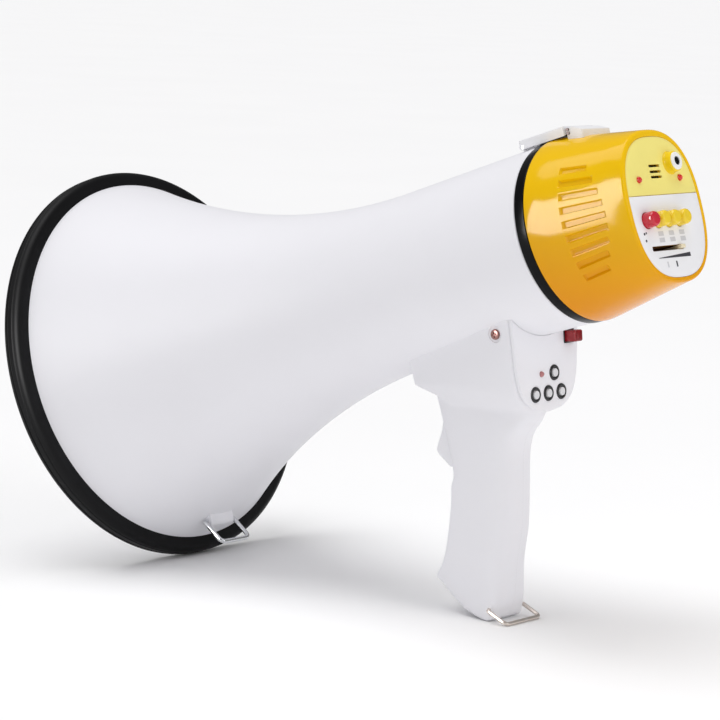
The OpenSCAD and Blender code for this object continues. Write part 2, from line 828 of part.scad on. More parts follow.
module panel_plate() {
    color("#f4f4f6") difference() {
        on_panel() difference() {
            union() {
                rear_plate(-panel_t, 0) panel_outline(0.2);
                rear_plate(-panel_t, 0) translate([0, 3])
                    square([2 * panel_half_w - 0.6, 6.2], center = true);
            }
            for (i = [0:3]) rod_x(-4, 1, player_y[i], player_z[i], 4.2);
            rod_x(-4, 1, -5.5, player_z[3], 1.55);
            translate([-4, lock_y - lock_frame[0], lock_z - lock_frame[1]])
                cube([6, 2 * lock_frame[0], 2 * lock_frame[1]]);
        }
        horn_solid(-0.2);
    }
}

module player_board() {
    color("#2f7a45") on_panel() {
        rear_plate(-8.6, -7) translate([0, -34.5]) square([30, 22], center = true);
        rear_plate(-7, -3.8) for (i = [0:3]) translate([player_y[i], player_z[i]])
            square([5.4, 5.4], center = true);
    }
}

module player_bezels() {
    color("#18181a") on_panel() for (i = [0:3]) difference() {
        rod_x(-2.6, 0.5, player_y[i], player_z[i], 4.2);
        rod_x(-3, 1, player_y[i], player_z[i], player_d / 2 + 0.35);
    }
}

module player_button(i) {
    color("#ececee") on_panel() rod_x(-3.8 + player_travel + 0.1, 1.1, player_y[i], player_z[i],
        player_d / 2);
}

module player_button_1() player_button(0);
module player_button_2() player_button(1);
module player_button_3() player_button(2);
module player_button_4() player_button(3);

module player_led() {
    color("#b04848") on_panel() {
        rod_x(-7, 0, -5.5, player_z[3], 1.5);
        translate([0, -5.5, player_z[3]]) sphere(r = 1.5, $fn = small);
    }
}

module lock_button() {
    color("#a81018") on_panel() {
        translate([-1.5, lock_y - lock_half[0], lock_z - lock_half[1]])
            cube([8.5, 2 * lock_half[0], 2 * lock_half[1]]);
        translate([-5, lock_y - 1.5, lock_z - 1.5]) cube([3.6, 3, 3]);
    }
}

module lock_switch() {
    color("#1d1d20") difference() {
        on_panel() lock_cup();
        horn_solid(-0.3);
    }
}

module lock_cup() {
    difference() {
        translate([-9.5, lock_y - lock_frame[0], lock_z - lock_frame[1]])
            cube([9.9, 2 * lock_frame[0], 2 * lock_frame[1]]);
        translate([-5.5 - lock_travel, lock_y - lock_frame[0] + 0.4, lock_z - lock_frame[1] + 0.35])
            cube([20, 2 * lock_frame[0] - 0.8, 2 * lock_frame[1] - 0.7]);
    }
}

module trigger() {
    px = trigger_pivot[0];
    pz = trigger_pivot[1];
    color("white") difference() {
        side_plate(-trigger_w / 2, trigger_w / 2) polygon([[213.6, -70.6], [211.6, -76],
            [207.6, -84], [203.8, -89], [201.2, -93.2], [202.2, -95.6], [206, -101],
            [208.2, -104], [215, -103.6], [220.6, -95], [221.6, -82], [220.6, -71.4]]);
        rod_y(px, pz, -20, 20, trigger_pin_r + 0.05);
        // Pocket for the return spring
        rod_x(217.5, 230, 0, spring_z, 2.9);
    }
}

module trigger_pin() {
    color("silver") rod_y(trigger_pivot[0], trigger_pivot[1], -11.9, 11.9, trigger_pin_r);
}

module trigger_spring() {
    color("silver") for (i = [0:6]) translate([0, 0, spring_z]) along_axis(218.1 + 1.55 * i)
        rotate_extrude($fn = small) translate([2.1, 0]) circle(r = 0.4, $fn = 16);
}

module trigger_switch() {
    color("#222226") {
        translate([228, -5, -105]) cube([8, 10, 12]);
        rod_x(222.6, 228.1, 0, -98, 1);
    }
}

module grip_screws() {
    color("silver") for (s = screw_spots) {
        rod_y(s[0], s[1], 3 - grip_t / 2, grip_t / 2 - 3, screw_r);
        rod_y(s[0], s[1], grip_t / 2 - 3, grip_t / 2 - 0.8, 2.8);
    }
}

module side_screws() {
    color("#8c7a7a") for (s = [-1, 1]) {
        rod_y(side_screw[0], side_screw[1], s > 0 ? 25 : -27.7, s > 0 ? 27.7 : -25, 1.6);
        rod_y(side_screw[0], side_screw[1], s > 0 ? 27.6 : -29.2, s > 0 ? 29.2 : -27.6, 2.8);
    }
}

// ---- Wire rings ----

module bail_saddle() {
    color("white") difference() {
        union() {
            rod_y(bail_pivot[0], bail_pivot[1], -9.5, 9.5, 3.2);
            translate([bail_pivot[0] - 3.2, -9.5, bail_pivot[1]]) cube([6.4, 19, 4]);
        }
        rod_y(bail_pivot[0], bail_pivot[1], -20, 20, bail_wire / 2 + 0.06);
        horn_solid();
    }
}

module horn_bail() {
    r = bail_wire / 2;
    color("#e6e8ea") translate([bail_pivot[0], 0, bail_pivot[1]]) rotate([0, -bail_swing, 0]) {
        rod_y(0, 0, -bail_half, bail_half, r);
        for (s = [-1, 1]) {
            translate([0, s * bail_half, 0]) sphere(r = r, $fn = small);
            translate([0, s * bail_half, -bail_l]) cylinder(h = bail_l, r = r, $fn = small);
            translate([0, s * bail_half, -bail_l]) sphere(r = r, $fn = small);
        }
        rod_y(0, -bail_l, -bail_half, bail_half, r);
    }
}

module strap_loop() {
    r = loop_wire / 2;
    color("#d8c8bc") translate([loop_pivot[0], 0, loop_pivot[1]]) rotate([0, loop_swing, 0]) {
        for (s = [-1, 1]) {
            rod_y(0, 0, s > 0 ? 9 : -loop_half, s > 0 ? loop_half : -9, r);
            translate([0, s * loop_half, 0]) sphere(r = r, $fn = small);
            rod_x(0, loop_l, s * loop_half, 0, r);
            translate([loop_l, s * loop_half, 0]) sphere(r = r, $fn = small);
        }
        rod_y(loop_l, 0, -loop_half, loop_half, r);
    }
}

settle() horn_shell();
settle() mouth_bumper();
settle() throat_tube();
settle() reflector_cup();
settle() reflector_fins();
settle() driver_flange();
settle() driver_housing();
settle() driver_diaphragm();
settle() driver_magnet();
settle() driver_yoke();
settle() driver_screws();
settle() battery_tray();
settle() battery_cells();
settle() battery_contacts();
settle() driver_lead();
settle() gasket_ring();
settle() rear_cap();
settle() mic_plate();
settle() control_plate();
settle() mic_capsule();
settle() mic_boot();
settle() jack_boss();
settle() jack_socket();
settle() indicator_leds();
settle() amp_board();
settle() key_switches();
settle() siren_key();
settle() talk_key();
settle() music_key();
settle() record_key();
settle() volume_pot();
settle() volume_slider();
settle() board_screws();
settle() latch_keeper();
settle() keeper_pin();
settle() latch_base();
settle() latch_pin();
settle() latch_lever();
settle() grip_left();
settle() grip_right();
settle() panel_plate();
settle() player_board();
settle() player_bezels();
settle() player_button_1();
settle() player_button_2();
settle() player_button_3();
settle() player_button_4();
settle() player_led();
settle() lock_button();
settle() lock_switch();
settle() trigger();
settle() trigger_pin();
settle() trigger_spring();
settle() trigger_switch();
settle() grip_screws();
settle() side_screws();
settle() horn_bail();
settle() bail_saddle();
settle() strap_loop();
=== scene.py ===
import json
import math

import bmesh
import bpy
from mathutils import Matrix, Vector


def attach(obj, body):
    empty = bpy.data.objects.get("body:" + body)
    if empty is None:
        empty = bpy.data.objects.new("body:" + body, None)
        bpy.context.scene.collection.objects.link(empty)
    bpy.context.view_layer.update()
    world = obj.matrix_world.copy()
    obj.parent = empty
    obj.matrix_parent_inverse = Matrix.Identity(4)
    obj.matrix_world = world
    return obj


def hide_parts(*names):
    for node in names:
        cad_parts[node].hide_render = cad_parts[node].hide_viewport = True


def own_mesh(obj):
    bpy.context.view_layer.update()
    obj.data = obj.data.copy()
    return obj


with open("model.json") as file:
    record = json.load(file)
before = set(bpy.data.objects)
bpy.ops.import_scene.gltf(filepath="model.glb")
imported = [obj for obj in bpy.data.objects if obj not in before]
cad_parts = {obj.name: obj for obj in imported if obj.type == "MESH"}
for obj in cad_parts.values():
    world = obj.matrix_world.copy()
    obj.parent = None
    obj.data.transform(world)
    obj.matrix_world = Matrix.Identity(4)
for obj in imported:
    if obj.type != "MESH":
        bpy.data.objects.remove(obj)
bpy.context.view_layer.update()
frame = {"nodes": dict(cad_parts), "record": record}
record = frame["record"]

# Pieces are drawn in millimetres in the megaphone's level frame: x = 0 at the mouth and grows
# to the rear along the horn's axis, z points up, y = 0 is the middle plane. LEVEL takes a
# point of that frame to the row frame, in metres, and is worked out from the two mounts.
MM = 0.001
mounts = {m["name"]: m for m in record["mounts"]}
axis = Vector(mounts["microphone_socket"]["axis"])
upward = Vector((-axis.z, 0, axis.x))
rest_spot = Vector(mounts["mouth_rest"]["pos_m"])
origin = rest_spot + 7 * MM * axis - 108 * MM * upward
LEVEL = Matrix((
    (axis.x * MM, 0, upward.x * MM, origin.x),
    (0, MM, 0, 0),
    (axis.z * MM, 0, upward.z * MM, origin.z),
    (0, 0, 0, 1),
))
TILT = math.atan2(axis.z, axis.x)

# Sizes shared with the CAD model
MOUTH_R = 115
EDGE_X = -2
FLARE_L = 215
BODY_L = 315.3
TUBE_R = 47
WALL = 2.2
NECK_R = 44.6
CAP_X = 321.8
REAR_X = 375.8
CAP_R = 49.4
CAP_WALL = 2.4
SHOULDER_X = CAP_X + 8.5
SHOULDER_R = CAP_R - 1
REAR_OVAL = (33.9, 40.3, 2.45, -0.9)
PLATE_Z = -1.4
PLATE_T = 1.2
PLATE_W = 31
PLATE_H = 37.2
KEY_R = 4.15
KEY_Y = [-19.5, -10, -0.5, 9]
KEY_Z = -8
MIC_Y = -2
MIC_Z = [20.3, 17.2, 14.4]
JACK = (12.5, 21.3)
JACK_PROUD = 4
LED = (18.5, 13.3)
SLOT_Y = -6
SLOT_Z = -22.8
SLOT_L = 28.6
SLOT_H = 2.6
GRIP_T = 28
LATCH_PIVOT = (305.5, 49.4)
LATCH_ROOF = 51.6
LATCH_HALF = 14
LATCH_WALL = 2.6
EAR_R = 1.9
EAR_Y = (8.2, 10.6)
KEEPER_X = 334.2
KEEPER_TOP = 51.7
KEEPER_L = 10
KEEPER_HALF = 12.6
KEEPER_PINS = (48.7, 50.7)
PANEL_H = 52.8
PLAYER = [(-11.5, -42.3), (0, -42.3), (11.5, -42.3), (6, -31.8)]
PLAYER_LED = (-5.5, -31.8)
LOCK = (20.5, -13.2)
LOCK_HALF = (3.6, 3.1)
LOCK_FRAME = (4.4, 3.7)
TRIGGER_PIVOT = (217, -74)
SPRING_X = (218.1, 227.4)
SPRING_Z = -88
SIDE_SCREW = (271.5, -43)
GRIP_SCREWS = [(236, -110), (226, -150), (206, -168)]
LOOP_PIVOT = (215, -184)
LOOP_L = 14
LOOP_WIRE = 1.1
PANEL = Matrix.Translation((285.5, 0, -37)) @ Matrix.Rotation(math.radians(12.6), 4, "Y")


def horn_r(x):
    if x < FLARE_L:
        return TUBE_R + (MOUTH_R - 5 - TUBE_R) * (1 - x / FLARE_L) ** 2
    return TUBE_R + 1.6 * (x - FLARE_L) / (BODY_L - FLARE_L)


def steps(a, b, n):
    return [a + (b - a) * i / n for i in range(n + 1)]


def arc(x, r, w, h, n, start=0):
    """Part of a quarter of an oval round (x, r), ending w along x."""
    return [(x + w * math.sin(a), r + h * math.cos(a)) for a in steps(start, math.pi / 2, n)]


def smoothstep(t):
    t = max(0.0, min(1.0, t))
    return t * t * (3 - 2 * t)


# ---- Outlines ----

def egg(w, h, power=2.6, n=96, z0=0.0):
    points = []
    for i in range(n):
        a = math.tau * i / n
        c, s = math.cos(a), math.sin(a)
        points.append((
            w * math.copysign(abs(c) ** (2 / power), c),
            h * math.copysign(abs(s) ** (2 / power), s) + z0,
        ))
    return points


def egg_radius(angle, w, h, power, z0=0.0):
    """Distance from the axis to an oval whose centre is z0 above it, in one direction."""
    low, high = 0.0, 80.0
    for _ in range(40):
        r = (low + high) / 2
        inside = (abs(r * math.cos(angle)) / w) ** power
        inside += (abs(r * math.sin(angle) - z0) / h) ** power
        if inside < 1:
            low = r
        else:
            high = r
    return low


def circle(r, centre=(0, 0), n=32):
    return [(centre[0] + r * math.cos(math.tau * i / n), centre[1] + r * math.sin(math.tau * i / n))
            for i in range(n)]


def box_outline(u0, u1, v0, v1):
    return [(u0, v0), (u1, v0), (u1, v1), (u0, v1)]


def rounded(points, radii, n=5, closed=True):
    """The outline with an arc of n steps at each corner."""
    count = len(points)
    if not hasattr(radii, "__len__"):
        radii = [radii] * count
    result = []
    for i, radius in enumerate(radii):
        here = Vector(points[i])
        if radius <= 0 or (not closed and i in (0, count - 1)):
            result.append(tuple(here))
            continue
        back = Vector(points[i - 1]) - here
        on = Vector(points[(i + 1) % count]) - here
        half = back.angle(on) / 2
        reach = min(radius / math.tan(half), 0.48 * back.length, 0.48 * on.length)
        middle = (back.normalized() + on.normalized()).normalized()
        r = reach * math.tan(half)
        centre = here + middle * (r / math.sin(half))
        start = here + back.normalized() * reach - centre
        end = here + on.normalized() * reach - centre
        total = start.angle(end)
        for k in range(n + 1):
            t = k / n
            spot = start * math.sin((1 - t) * total) + end * math.sin(t * total)
            result.append(tuple(centre + spot / math.sin(total)))
    return result


# ---- Mesh building ----

def to_object(bm, name="shape"):
    bmesh.ops.recalc_face_normals(bm, faces=bm.faces)
    mesh = bpy.data.meshes.new(name)
    bm.to_mesh(mesh)
    bm.free()
    obj = bpy.data.objects.new(name, mesh)
    bpy.context.scene.collection.objects.link(obj)
    return obj


def revolve(loop, segments=192, at=(0, 0, 0)):
    """Turns a closed outline of (x, r) points about the line through at, parallel to the x axis."""
    bm = bmesh.new()
    rings = []
    for x, r in loop:
        if r < 1e-6:
            rings.append([bm.verts.new((at[0] + x, at[1], at[2]))])
            continue
        rings.append([
            bm.verts.new((at[0] + x, at[1] + r * math.cos(a), at[2] + r * math.sin(a)))
            for a in steps(0, math.tau, segments)[:-1]
        ])
    skin_rings(bm, rings, closed=True)
    return to_object(bm)


def skin_rings(bm, rings, closed):
    pairs = list(zip(rings, rings[1:]))
    if closed:
        pairs.append((rings[-1], rings[0]))
    for a, b in pairs:
        if len(a) == 1 and len(b) == 1:
            continue
        n = max(len(a), len(b))
        for k in range(n):
            j = (k + 1) % n
            corners = [a[k % len(a)], a[j % len(a)], b[j % len(b)], b[k % len(b)]]
            unique = list(dict.fromkeys(corners))
            bm.faces.new(unique)


def slab(outline, holes, t0, t1, axes="yzx"):
    """A plate with holes: its outline lies along the first two axes, its thickness along the third."""
    bm = bmesh.new()
    order = ["xyz".index(letter) for letter in axes]

    def vertex(u, v, t):
        co = [0, 0, 0]
        for where, value in zip(order, (u, v, t)):
            co[where] = value
        return bm.verts.new(co)

    for t in (t0, t1):
        edges = []
        for loop in [outline, *holes]:
            verts = [vertex(u, v, t) for u, v in loop]
            edges += [bm.edges.new((verts[i - 1], verts[i])) for i in range(len(verts))]
        bmesh.ops.triangle_fill(bm, use_beauty=True, edges=edges)
    bm.verts.ensure_lookup_table()
    total = sum(len(loop) for loop in [outline, *holes])
    start = 0
    for loop in [outline, *holes]:
        for i in range(len(loop)):
            a = start + i
            b = start + (i + 1) % len(loop)
            bm.faces.new([bm.verts[a], bm.verts[b], bm.verts[b + total], bm.verts[a + total]])
        start += len(loop)
    return to_object(bm)


def block(x0, x1, y0, y1, z0, z1):
    return slab(box_outline(y0, y1, z0, z1), [], x0, x1)


def rod(p0, p1, r, n=32):
    """A plain round bar between two points."""
    p0, p1 = Vector(p0), Vector(p1)
    bm = bmesh.new()
    turn = (p1 - p0).to_track_quat("X", "Z").to_matrix()
    rings = []
    for p in (p0, p1):
        rings.append([
            bm.verts.new(p + turn @ Vector((0, r * math.cos(a), r * math.sin(a))))
            for a in steps(0, math.tau, n)[:-1]
        ])
    skin_rings(bm, rings, closed=False)
    for ring in rings:
        bm.faces.new(ring)
    return to_object(bm)


def cross_rod(x, z, half, r):
    """A round bar straight across the megaphone, at x and z."""
    return rod((x, -half, z), (x, half, z), r)


def hull(points):
    bm = bmesh.new()
    for p in points:
        bm.verts.new(p)
    result = bmesh.ops.convex_hull(bm, input=bm.verts)
    spare = set(result["geom_interior"]) | set(result["geom_unused"])
    bmesh.ops.delete(bm, geom=[g for g in spare if isinstance(g, bmesh.types.BMVert)], context="VERTS")
    return to_object(bm)


def tube(path, r, n=20, closed=False):
    """A round wire along a path; an open one has flat ends."""
    points = [Vector(p) for p in path]
    count = len(points)
    tangents = []
    for i in range(count):
        if closed:
            tangents.append((points[(i + 1) % count] - points[i - 1]).normalized())
        else:
            tangents.append((points[min(i + 1, count - 1)] - points[max(i - 1, 0)]).normalized())
    normal = tangents[0].orthogonal().normalized()
    bm = bmesh.new()
    rings = []
    for p, t in zip(points, tangents):
        normal = (normal - t * normal.dot(t)).normalized()
        side = t.cross(normal)
        rings.append([
            bm.verts.new(p + r * (normal * math.cos(a) + side * math.sin(a)))
            for a in steps(0, math.tau, n)[:-1]
        ])
    skin_rings(bm, rings, closed=closed)
    if not closed:
        for ring in (rings[0], rings[-1]):
            bm.faces.new(ring)
    return to_object(bm)


def applied(obj):
    graph = bpy.context.evaluated_depsgraph_get()
    mesh = bpy.data.meshes.new_from_object(obj.evaluated_get(graph))
    old = obj.data
    obj.modifiers.clear()
    obj.data = mesh
    bpy.data.meshes.remove(old)
    return obj


def boolean(obj, others, operation, solver="MANIFOLD"):
    for other in others:
        modifier = obj.modifiers.new("boolean", "BOOLEAN")
        modifier.operation = operation
        modifier.solver = solver
        modifier.object = other
    applied(obj)
    for other in others:
        mesh = other.data
        bpy.data.objects.remove(other)
        bpy.data.meshes.remove(mesh)
    return obj


def cut(obj, *others):
    return boolean(obj, others, "DIFFERENCE")


def unite(obj, *others):
    return boolean(obj, others, "UNION")


def keep(obj, other):
    return boolean(obj, [other], "INTERSECT")


def bevel(obj, width, segments=3, angle=30):
    modifier = obj.modifiers.new("bevel", "BEVEL")
    modifier.width = width
    modifier.segments = segments
    modifier.limit_method = "ANGLE"
    modifier.angle_limit = math.radians(angle)
    modifier.use_clamp_overlap = True
    return applied(obj)


def joined(obj, *others):
    """One object from several meshes that don't touch."""
    bm = bmesh.new()
    for o in (obj, *others):
        bm.from_mesh(o.data)
    for o in (obj, *others):
        mesh = o.data
        bpy.data.objects.remove(o)
        bpy.data.meshes.remove(mesh)
    mesh = bpy.data.meshes.new("joined")
    bm.to_mesh(mesh)
    bm.free()
    result = bpy.data.objects.new("joined", mesh)
    bpy.context.scene.collection.objects.link(result)
    return result


def moved(obj, matrix):
    obj.data.transform(matrix)
    return obj


def copy_of(obj, matrix):
    other = bpy.data.objects.new(obj.name, obj.data.copy())
    bpy.context.scene.collection.objects.link(other)
    return moved(other, matrix)


def piece(obj, node, body, material, also=(), sharp=35, name=None, stands_for=True):
    """Finishes a shape drawn in the level frame as a visible piece."""
    moved(obj, LEVEL)
    obj.name = name or node + "_detail"
    obj.data.name = obj.name
    obj.data.materials.clear()
    obj.data.materials.append(material)
    obj.data.shade_smooth()
    obj.data.set_sharp_from_angle(angle=math.radians(sharp))
    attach(obj, body)
    if stands_for:
        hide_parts(node, *also)
    return obj


# ---- Materials ----

def tinted(colour, factor):
    return [min(1.0, c * factor) for c in colour]


def surface(name, colour, shade=0.93, rough=0.3, rough_swing=0.06, grain=900, grain_depth=0.02,
            broad=14, metal=0.0, coat=0.0, scuff=0.0, specular=0.5, painted_shade_colour=None):
    """A finish with broad colour drift, a fine surface grain and faint scuffs, in real sizes, and, when a
    shade colour is given, painted shade that turns it to that colour towards the cap's underside.
    """
    material = bpy.data.materials.new(name)
    material.use_nodes = True
    nodes = material.node_tree.nodes
    links = material.node_tree.links
    shader = nodes["Principled BSDF"]
    shader.inputs["Metallic"].default_value = metal
    shader.inputs["Coat Weight"].default_value = coat
    shader.inputs["Coat Roughness"].default_value = 0.08
    shader.inputs["Specular IOR Level"].default_value = specular
    coords = nodes.new("ShaderNodeTexCoord")

    def noise(scale, detail=3.0):
        node = nodes.new("ShaderNodeTexNoise")
        node.inputs["Scale"].default_value = scale
        node.inputs["Detail"].default_value = detail
        links.new(coords.outputs["Object"], node.inputs["Vector"])
        return node.outputs["Fac"]

    def ramp(source, low, high, a, b):
        node = nodes.new("ShaderNodeValToRGB")
        node.color_ramp.elements[0].position = low
        node.color_ramp.elements[1].position = high
        node.color_ramp.elements[0].color = (*a, 1)
        node.color_ramp.elements[1].color = (*b, 1)
        links.new(source, node.inputs["Fac"])
        return node.outputs["Color"]

    drift = ramp(noise(broad, 2.0), 0.35, 0.65, tinted(colour, shade), colour)
    if painted_shade_colour:
        # Painted shade: the yellow darkens to orange towards the underside of the cap, where the shade falls
        height = nodes.new("ShaderNodeSeparateXYZ")
        links.new(coords.outputs["Object"], height.inputs["Vector"])
        depth = nodes.new("ShaderNodeMapRange")
        depth.interpolation_type = "SMOOTHSTEP"
        depth.inputs["From Min"].default_value = 0.165
        depth.inputs["From Max"].default_value = 0.25
        links.new(height.outputs["Z"], depth.inputs["Value"])
        painted_shade_mix = nodes.new("ShaderNodeMix")
        painted_shade_mix.data_type = "RGBA"
        links.new(depth.outputs["Result"], painted_shade_mix.inputs["Factor"])
        painted_shade_mix.inputs["A"].default_value = (*painted_shade_colour, 1)
        links.new(drift, painted_shade_mix.inputs["B"])
        drift = painted_shade_mix.outputs["Result"]
    if scuff:
        wear = ramp(noise(160, 8.0), 0.62, 0.72, (0, 0, 0), (scuff, scuff, scuff))
        mix = nodes.new("ShaderNodeMix")
        mix.data_type = "RGBA"
        links.new(wear, mix.inputs["Factor"])
        links.new(drift, mix.inputs["A"])
        mix.inputs["B"].default_value = (*tinted(colour, 1.6), 1)
        drift = mix.outputs["Result"]
    links.new(drift, shader.inputs["Base Color"])
    gloss = nodes.new("ShaderNodeMapRange")
    gloss.inputs["To Min"].default_value = max(0.02, rough - rough_swing)
    gloss.inputs["To Max"].default_value = min(1.0, rough + rough_swing)
    links.new(noise(70, 5.0), gloss.inputs["Value"])
    links.new(gloss.outputs["Result"], shader.inputs["Roughness"])
    bump = nodes.new("ShaderNodeBump")
    bump.inputs["Strength"].default_value = 0.35
    bump.inputs["Distance"].default_value = grain_depth * MM
    links.new(noise(grain, 2.0), bump.inputs["Height"])
    links.new(bump.outputs["Normal"], shader.inputs["Normal"])
    return material


WHITE = (0.87, 0.865, 0.9)
YELLOW = (0.9, 0.54, 0.003)
# The orange below is painted shade: the cap's yellow as it looks in shadow, not a second moulding colour
PAINTED_SHADE_ORANGE = (0.76, 0.27, 0.002)
white = surface("white_abs", WHITE, shade=0.985, rough=0.45, rough_swing=0.03, grain=700, grain_depth=0.008,
                specular=0.15)
white_in = surface("white_abs_inside", (0.82, 0.82, 0.84), shade=0.96, rough=0.34, coat=0.1)
white_small = surface("white_hardware", (0.88, 0.88, 0.9), shade=0.97, rough=0.4, grain=1500, specular=0.2)
rubber = surface("black_rubber", (0.006, 0.006, 0.007), shade=0.7, rough=0.46, rough_swing=0.08,
                 grain=2200, grain_depth=0.05, scuff=0.1, specular=0.14)
gasket_rubber = surface("gasket_rubber", (0.002, 0.002, 0.003), shade=0.7, rough=0.25, grain=2200,
                        grain_depth=0.02, specular=0.12)
# The cap's yellow carries painted shade, turning orange towards the cap's underside
yellow = surface("yellow_abs_painted_shade", YELLOW, shade=0.97, rough=0.12, rough_swing=0.02, grain=900,
                 grain_depth=0.004, specular=0.2, painted_shade_colour=PAINTED_SHADE_ORANGE)
boss_yellow = surface("yellow_boss", (0.92, 0.64, 0.01), shade=0.97, rough=0.2, specular=0.3)
yellow_key = surface("yellow_key", (0.93, 0.66, 0.02), shade=0.93, rough=0.22, coat=0.3)
red_key = surface("red_key", (0.62, 0.008, 0.03), shade=0.85, rough=0.2, coat=0.4)
dark_red = surface("dark_red_plastic", (0.34, 0.006, 0.012), shade=0.8, rough=0.28, coat=0.3)
# Painted highlight: the mic plate is the cap's yellow plastic, paled to stand in for the light it reflects;
# it is not a label
yellow_painted_highlight = surface("yellow_plate_painted_highlight", (0.96, 0.84, 0.23), shade=0.97, rough=0.42, grain=2600)
white_label = surface("white_label", (0.9, 0.9, 0.92), shade=0.98, rough=0.4, grain=2600)
white_ring = surface("white_ring", (0.9, 0.9, 0.9), shade=0.96, rough=0.24)
black = surface("black_plastic", (0.014, 0.014, 0.016), shade=0.8, rough=0.35, grain=1800)
ink = surface("grey_ink", (0.04, 0.04, 0.05), shade=0.8, rough=0.6, grain=3200)
pale_ink = surface("pale_ink", (0.64, 0.64, 0.67), shade=0.95, rough=0.6)
red_lens = surface("red_lens", (0.8, 0.02, 0.012), shade=0.8, rough=0.12, coat=0.5)
dim_lens = surface("unlit_lens", (0.55, 0.22, 0.22), shade=0.8, rough=0.2, coat=0.3)
grey_plastic = surface("grey_plastic", (0.62, 0.62, 0.64), shade=0.9, rough=0.4)
dark_plastic = surface("dark_plastic", (0.03, 0.03, 0.034), shade=0.75, rough=0.45, grain=1600)
paper = surface("phenolic_dome", (0.36, 0.15, 0.05), shade=0.75, rough=0.5, grain=2400)
ferrite = surface("ferrite", (0.045, 0.045, 0.05), shade=0.7, rough=0.62, grain=1500, grain_depth=0.08)
zinc = surface("zinc_steel", (0.62, 0.63, 0.65), shade=0.8, rough=0.34, metal=1.0, grain=500,
               grain_depth=0.03)
screw = surface("screw_steel", (0.5, 0.48, 0.47), shade=0.75, rough=0.34, metal=1.0, scuff=0.2)
warm_screw = surface("side_screw_steel", (0.36, 0.2, 0.18), shade=0.7, rough=0.36, metal=1.0)
bright_wire = surface("plated_wire", (0.82, 0.83, 0.85), shade=0.9, rough=0.16, metal=1.0,
                      scuff=0.1)
loop_steel = surface("strap_loop_wire", (0.75, 0.68, 0.62), shade=0.85, rough=0.3, metal=0.85,
                     scuff=0.2)
spring = surface("spring_wire", (0.6, 0.6, 0.6), shade=0.85, rough=0.25, metal=1.0)
nickel = surface("nickel_strip", (0.66, 0.62, 0.56), shade=0.85, rough=0.28, metal=1.0)
jacket = surface("cell_jacket", (0.045, 0.13, 0.32), shade=0.7, rough=0.25, coat=0.3, broad=40)
wire_red = surface("red_wire", (0.45, 0.02, 0.02), shade=0.8, rough=0.4)
board = surface("green_board", (0.02, 0.17, 0.055), shade=0.6, rough=0.35, coat=0.4, broad=180)
track = surface("brown_phenolic", (0.3, 0.12, 0.045), shade=0.65, rough=0.5, broad=120)
ivory = surface("ivory_knob", (0.88, 0.78, 0.55), shade=0.9, rough=0.35)
pin_dark = surface("dark_pin", (0.16, 0.12, 0.115), shade=0.75, rough=0.4, metal=0.6)
button_white = surface("white_button", (0.8, 0.8, 0.82), shade=0.9, rough=0.3)

CARRIED = {
    "throat_tube": white_in,
    "driver_flange": grey_plastic,
    "driver_housing": dark_plastic,
    "driver_diaphragm": paper,
    "driver_magnet": ferrite,
    "driver_yoke": zinc,
    "driver_screws": screw,
    "battery_tray": dark_plastic,
    "battery_cells": jacket,
    "battery_contacts": nickel,
    "driver_lead": wire_red,
    "mic_capsule": nickel,
    "mic_boot": rubber,
    "amp_board": board,
    "board_screws": screw,
    "key_switches": dark_plastic,
    "volume_pot": track,
    "keeper_pin": pin_dark,
    "latch_pin": zinc,
    "player_board": board,
    "lock_switch": dark_plastic,
    "trigger_pin": zinc,
    "trigger_switch": dark_plastic,
}


def finish_cad_nodes():
    for node, material in CARRIED.items():
        data = frame["nodes"][node].data
        data.materials.clear()
        data.materials.append(material)


# ---- Horn ----

def make_horn():
    outer = [(x, horn_r(x)) for x in steps(EDGE_X, FLARE_L, 72)]
    inner = [(x, horn_r(x) - WALL) for x in steps(FLARE_L - 3, EDGE_X, 70)]
    seat = [(311.3, horn_r(311.3) - WALL), (211, 44.8), (211, 38), (208, 38), (208, 44.8)]
    rear = [(BODY_L - 0.6, horn_r(BODY_L)), (BODY_L, horn_r(BODY_L) - 0.6), (BODY_L, NECK_R),
            (BODY_L + 10.4, NECK_R), (BODY_L + 11, NECK_R - 0.6), (BODY_L + 11, NECK_R - 2),
            (311.3, NECK_R - 2)]
    shell = revolve(outer + rear + seat + inner)
    window = block(BODY_L + 3, BODY_L + 14, -11, 11, -NECK_R - 1, -38)
    hole = rod((240, 0, -52), (240, 0, -40), 5)
    cut(shell, window, hole)
    piece(shell, "horn_shell", "horn_body", white, sharp=40)


def make_bumper():
    front = -7
    back = 6.2
    r_in = MOUTH_R - 11.5
    grooves = [(-2.6, 0.7), (1.9, 0.7)]
    outer = []
    for x in steps(front + 4, back - 4, 28):
        depth = sum(d * smoothstep(1 - abs(x - g) / 1.0) for g, d in grooves)
        outer.append((x, MOUTH_R - depth))
    corner = [(front + 4 - 4 * math.cos(a), MOUTH_R - 4 + 4 * math.sin(a))
              for a in steps(0, math.pi / 2, 8)]
    tail = arc(back - 4, MOUTH_R - 4, 4, 4, 6)
    face = []
    for r in steps(r_in + 4, MOUTH_R - 4, 16):
        face.append((front + 0.45 * smoothstep(1 - abs(r - r_in - 6.2) / 0.9), r))
    lip = arc(front + 4, r_in + 4, -4, -4, 6)
    groove = [(x, horn_r(x)) for x in steps(back, EDGE_X, 8)]
    inside = [(x, horn_r(x) - WALL) for x in steps(EDGE_X, 3.4, 6)]
    nose = [(3.9, r_in + 1.4), (3.8, r_in + 0.4), (3.2, r_in)]
    loop = lip + face[1:-1] + corner + outer[1:-1] + tail + groove + inside + nose
    piece(revolve(loop, 240), "mouth_bumper", "horn_body", rubber, sharp=50)


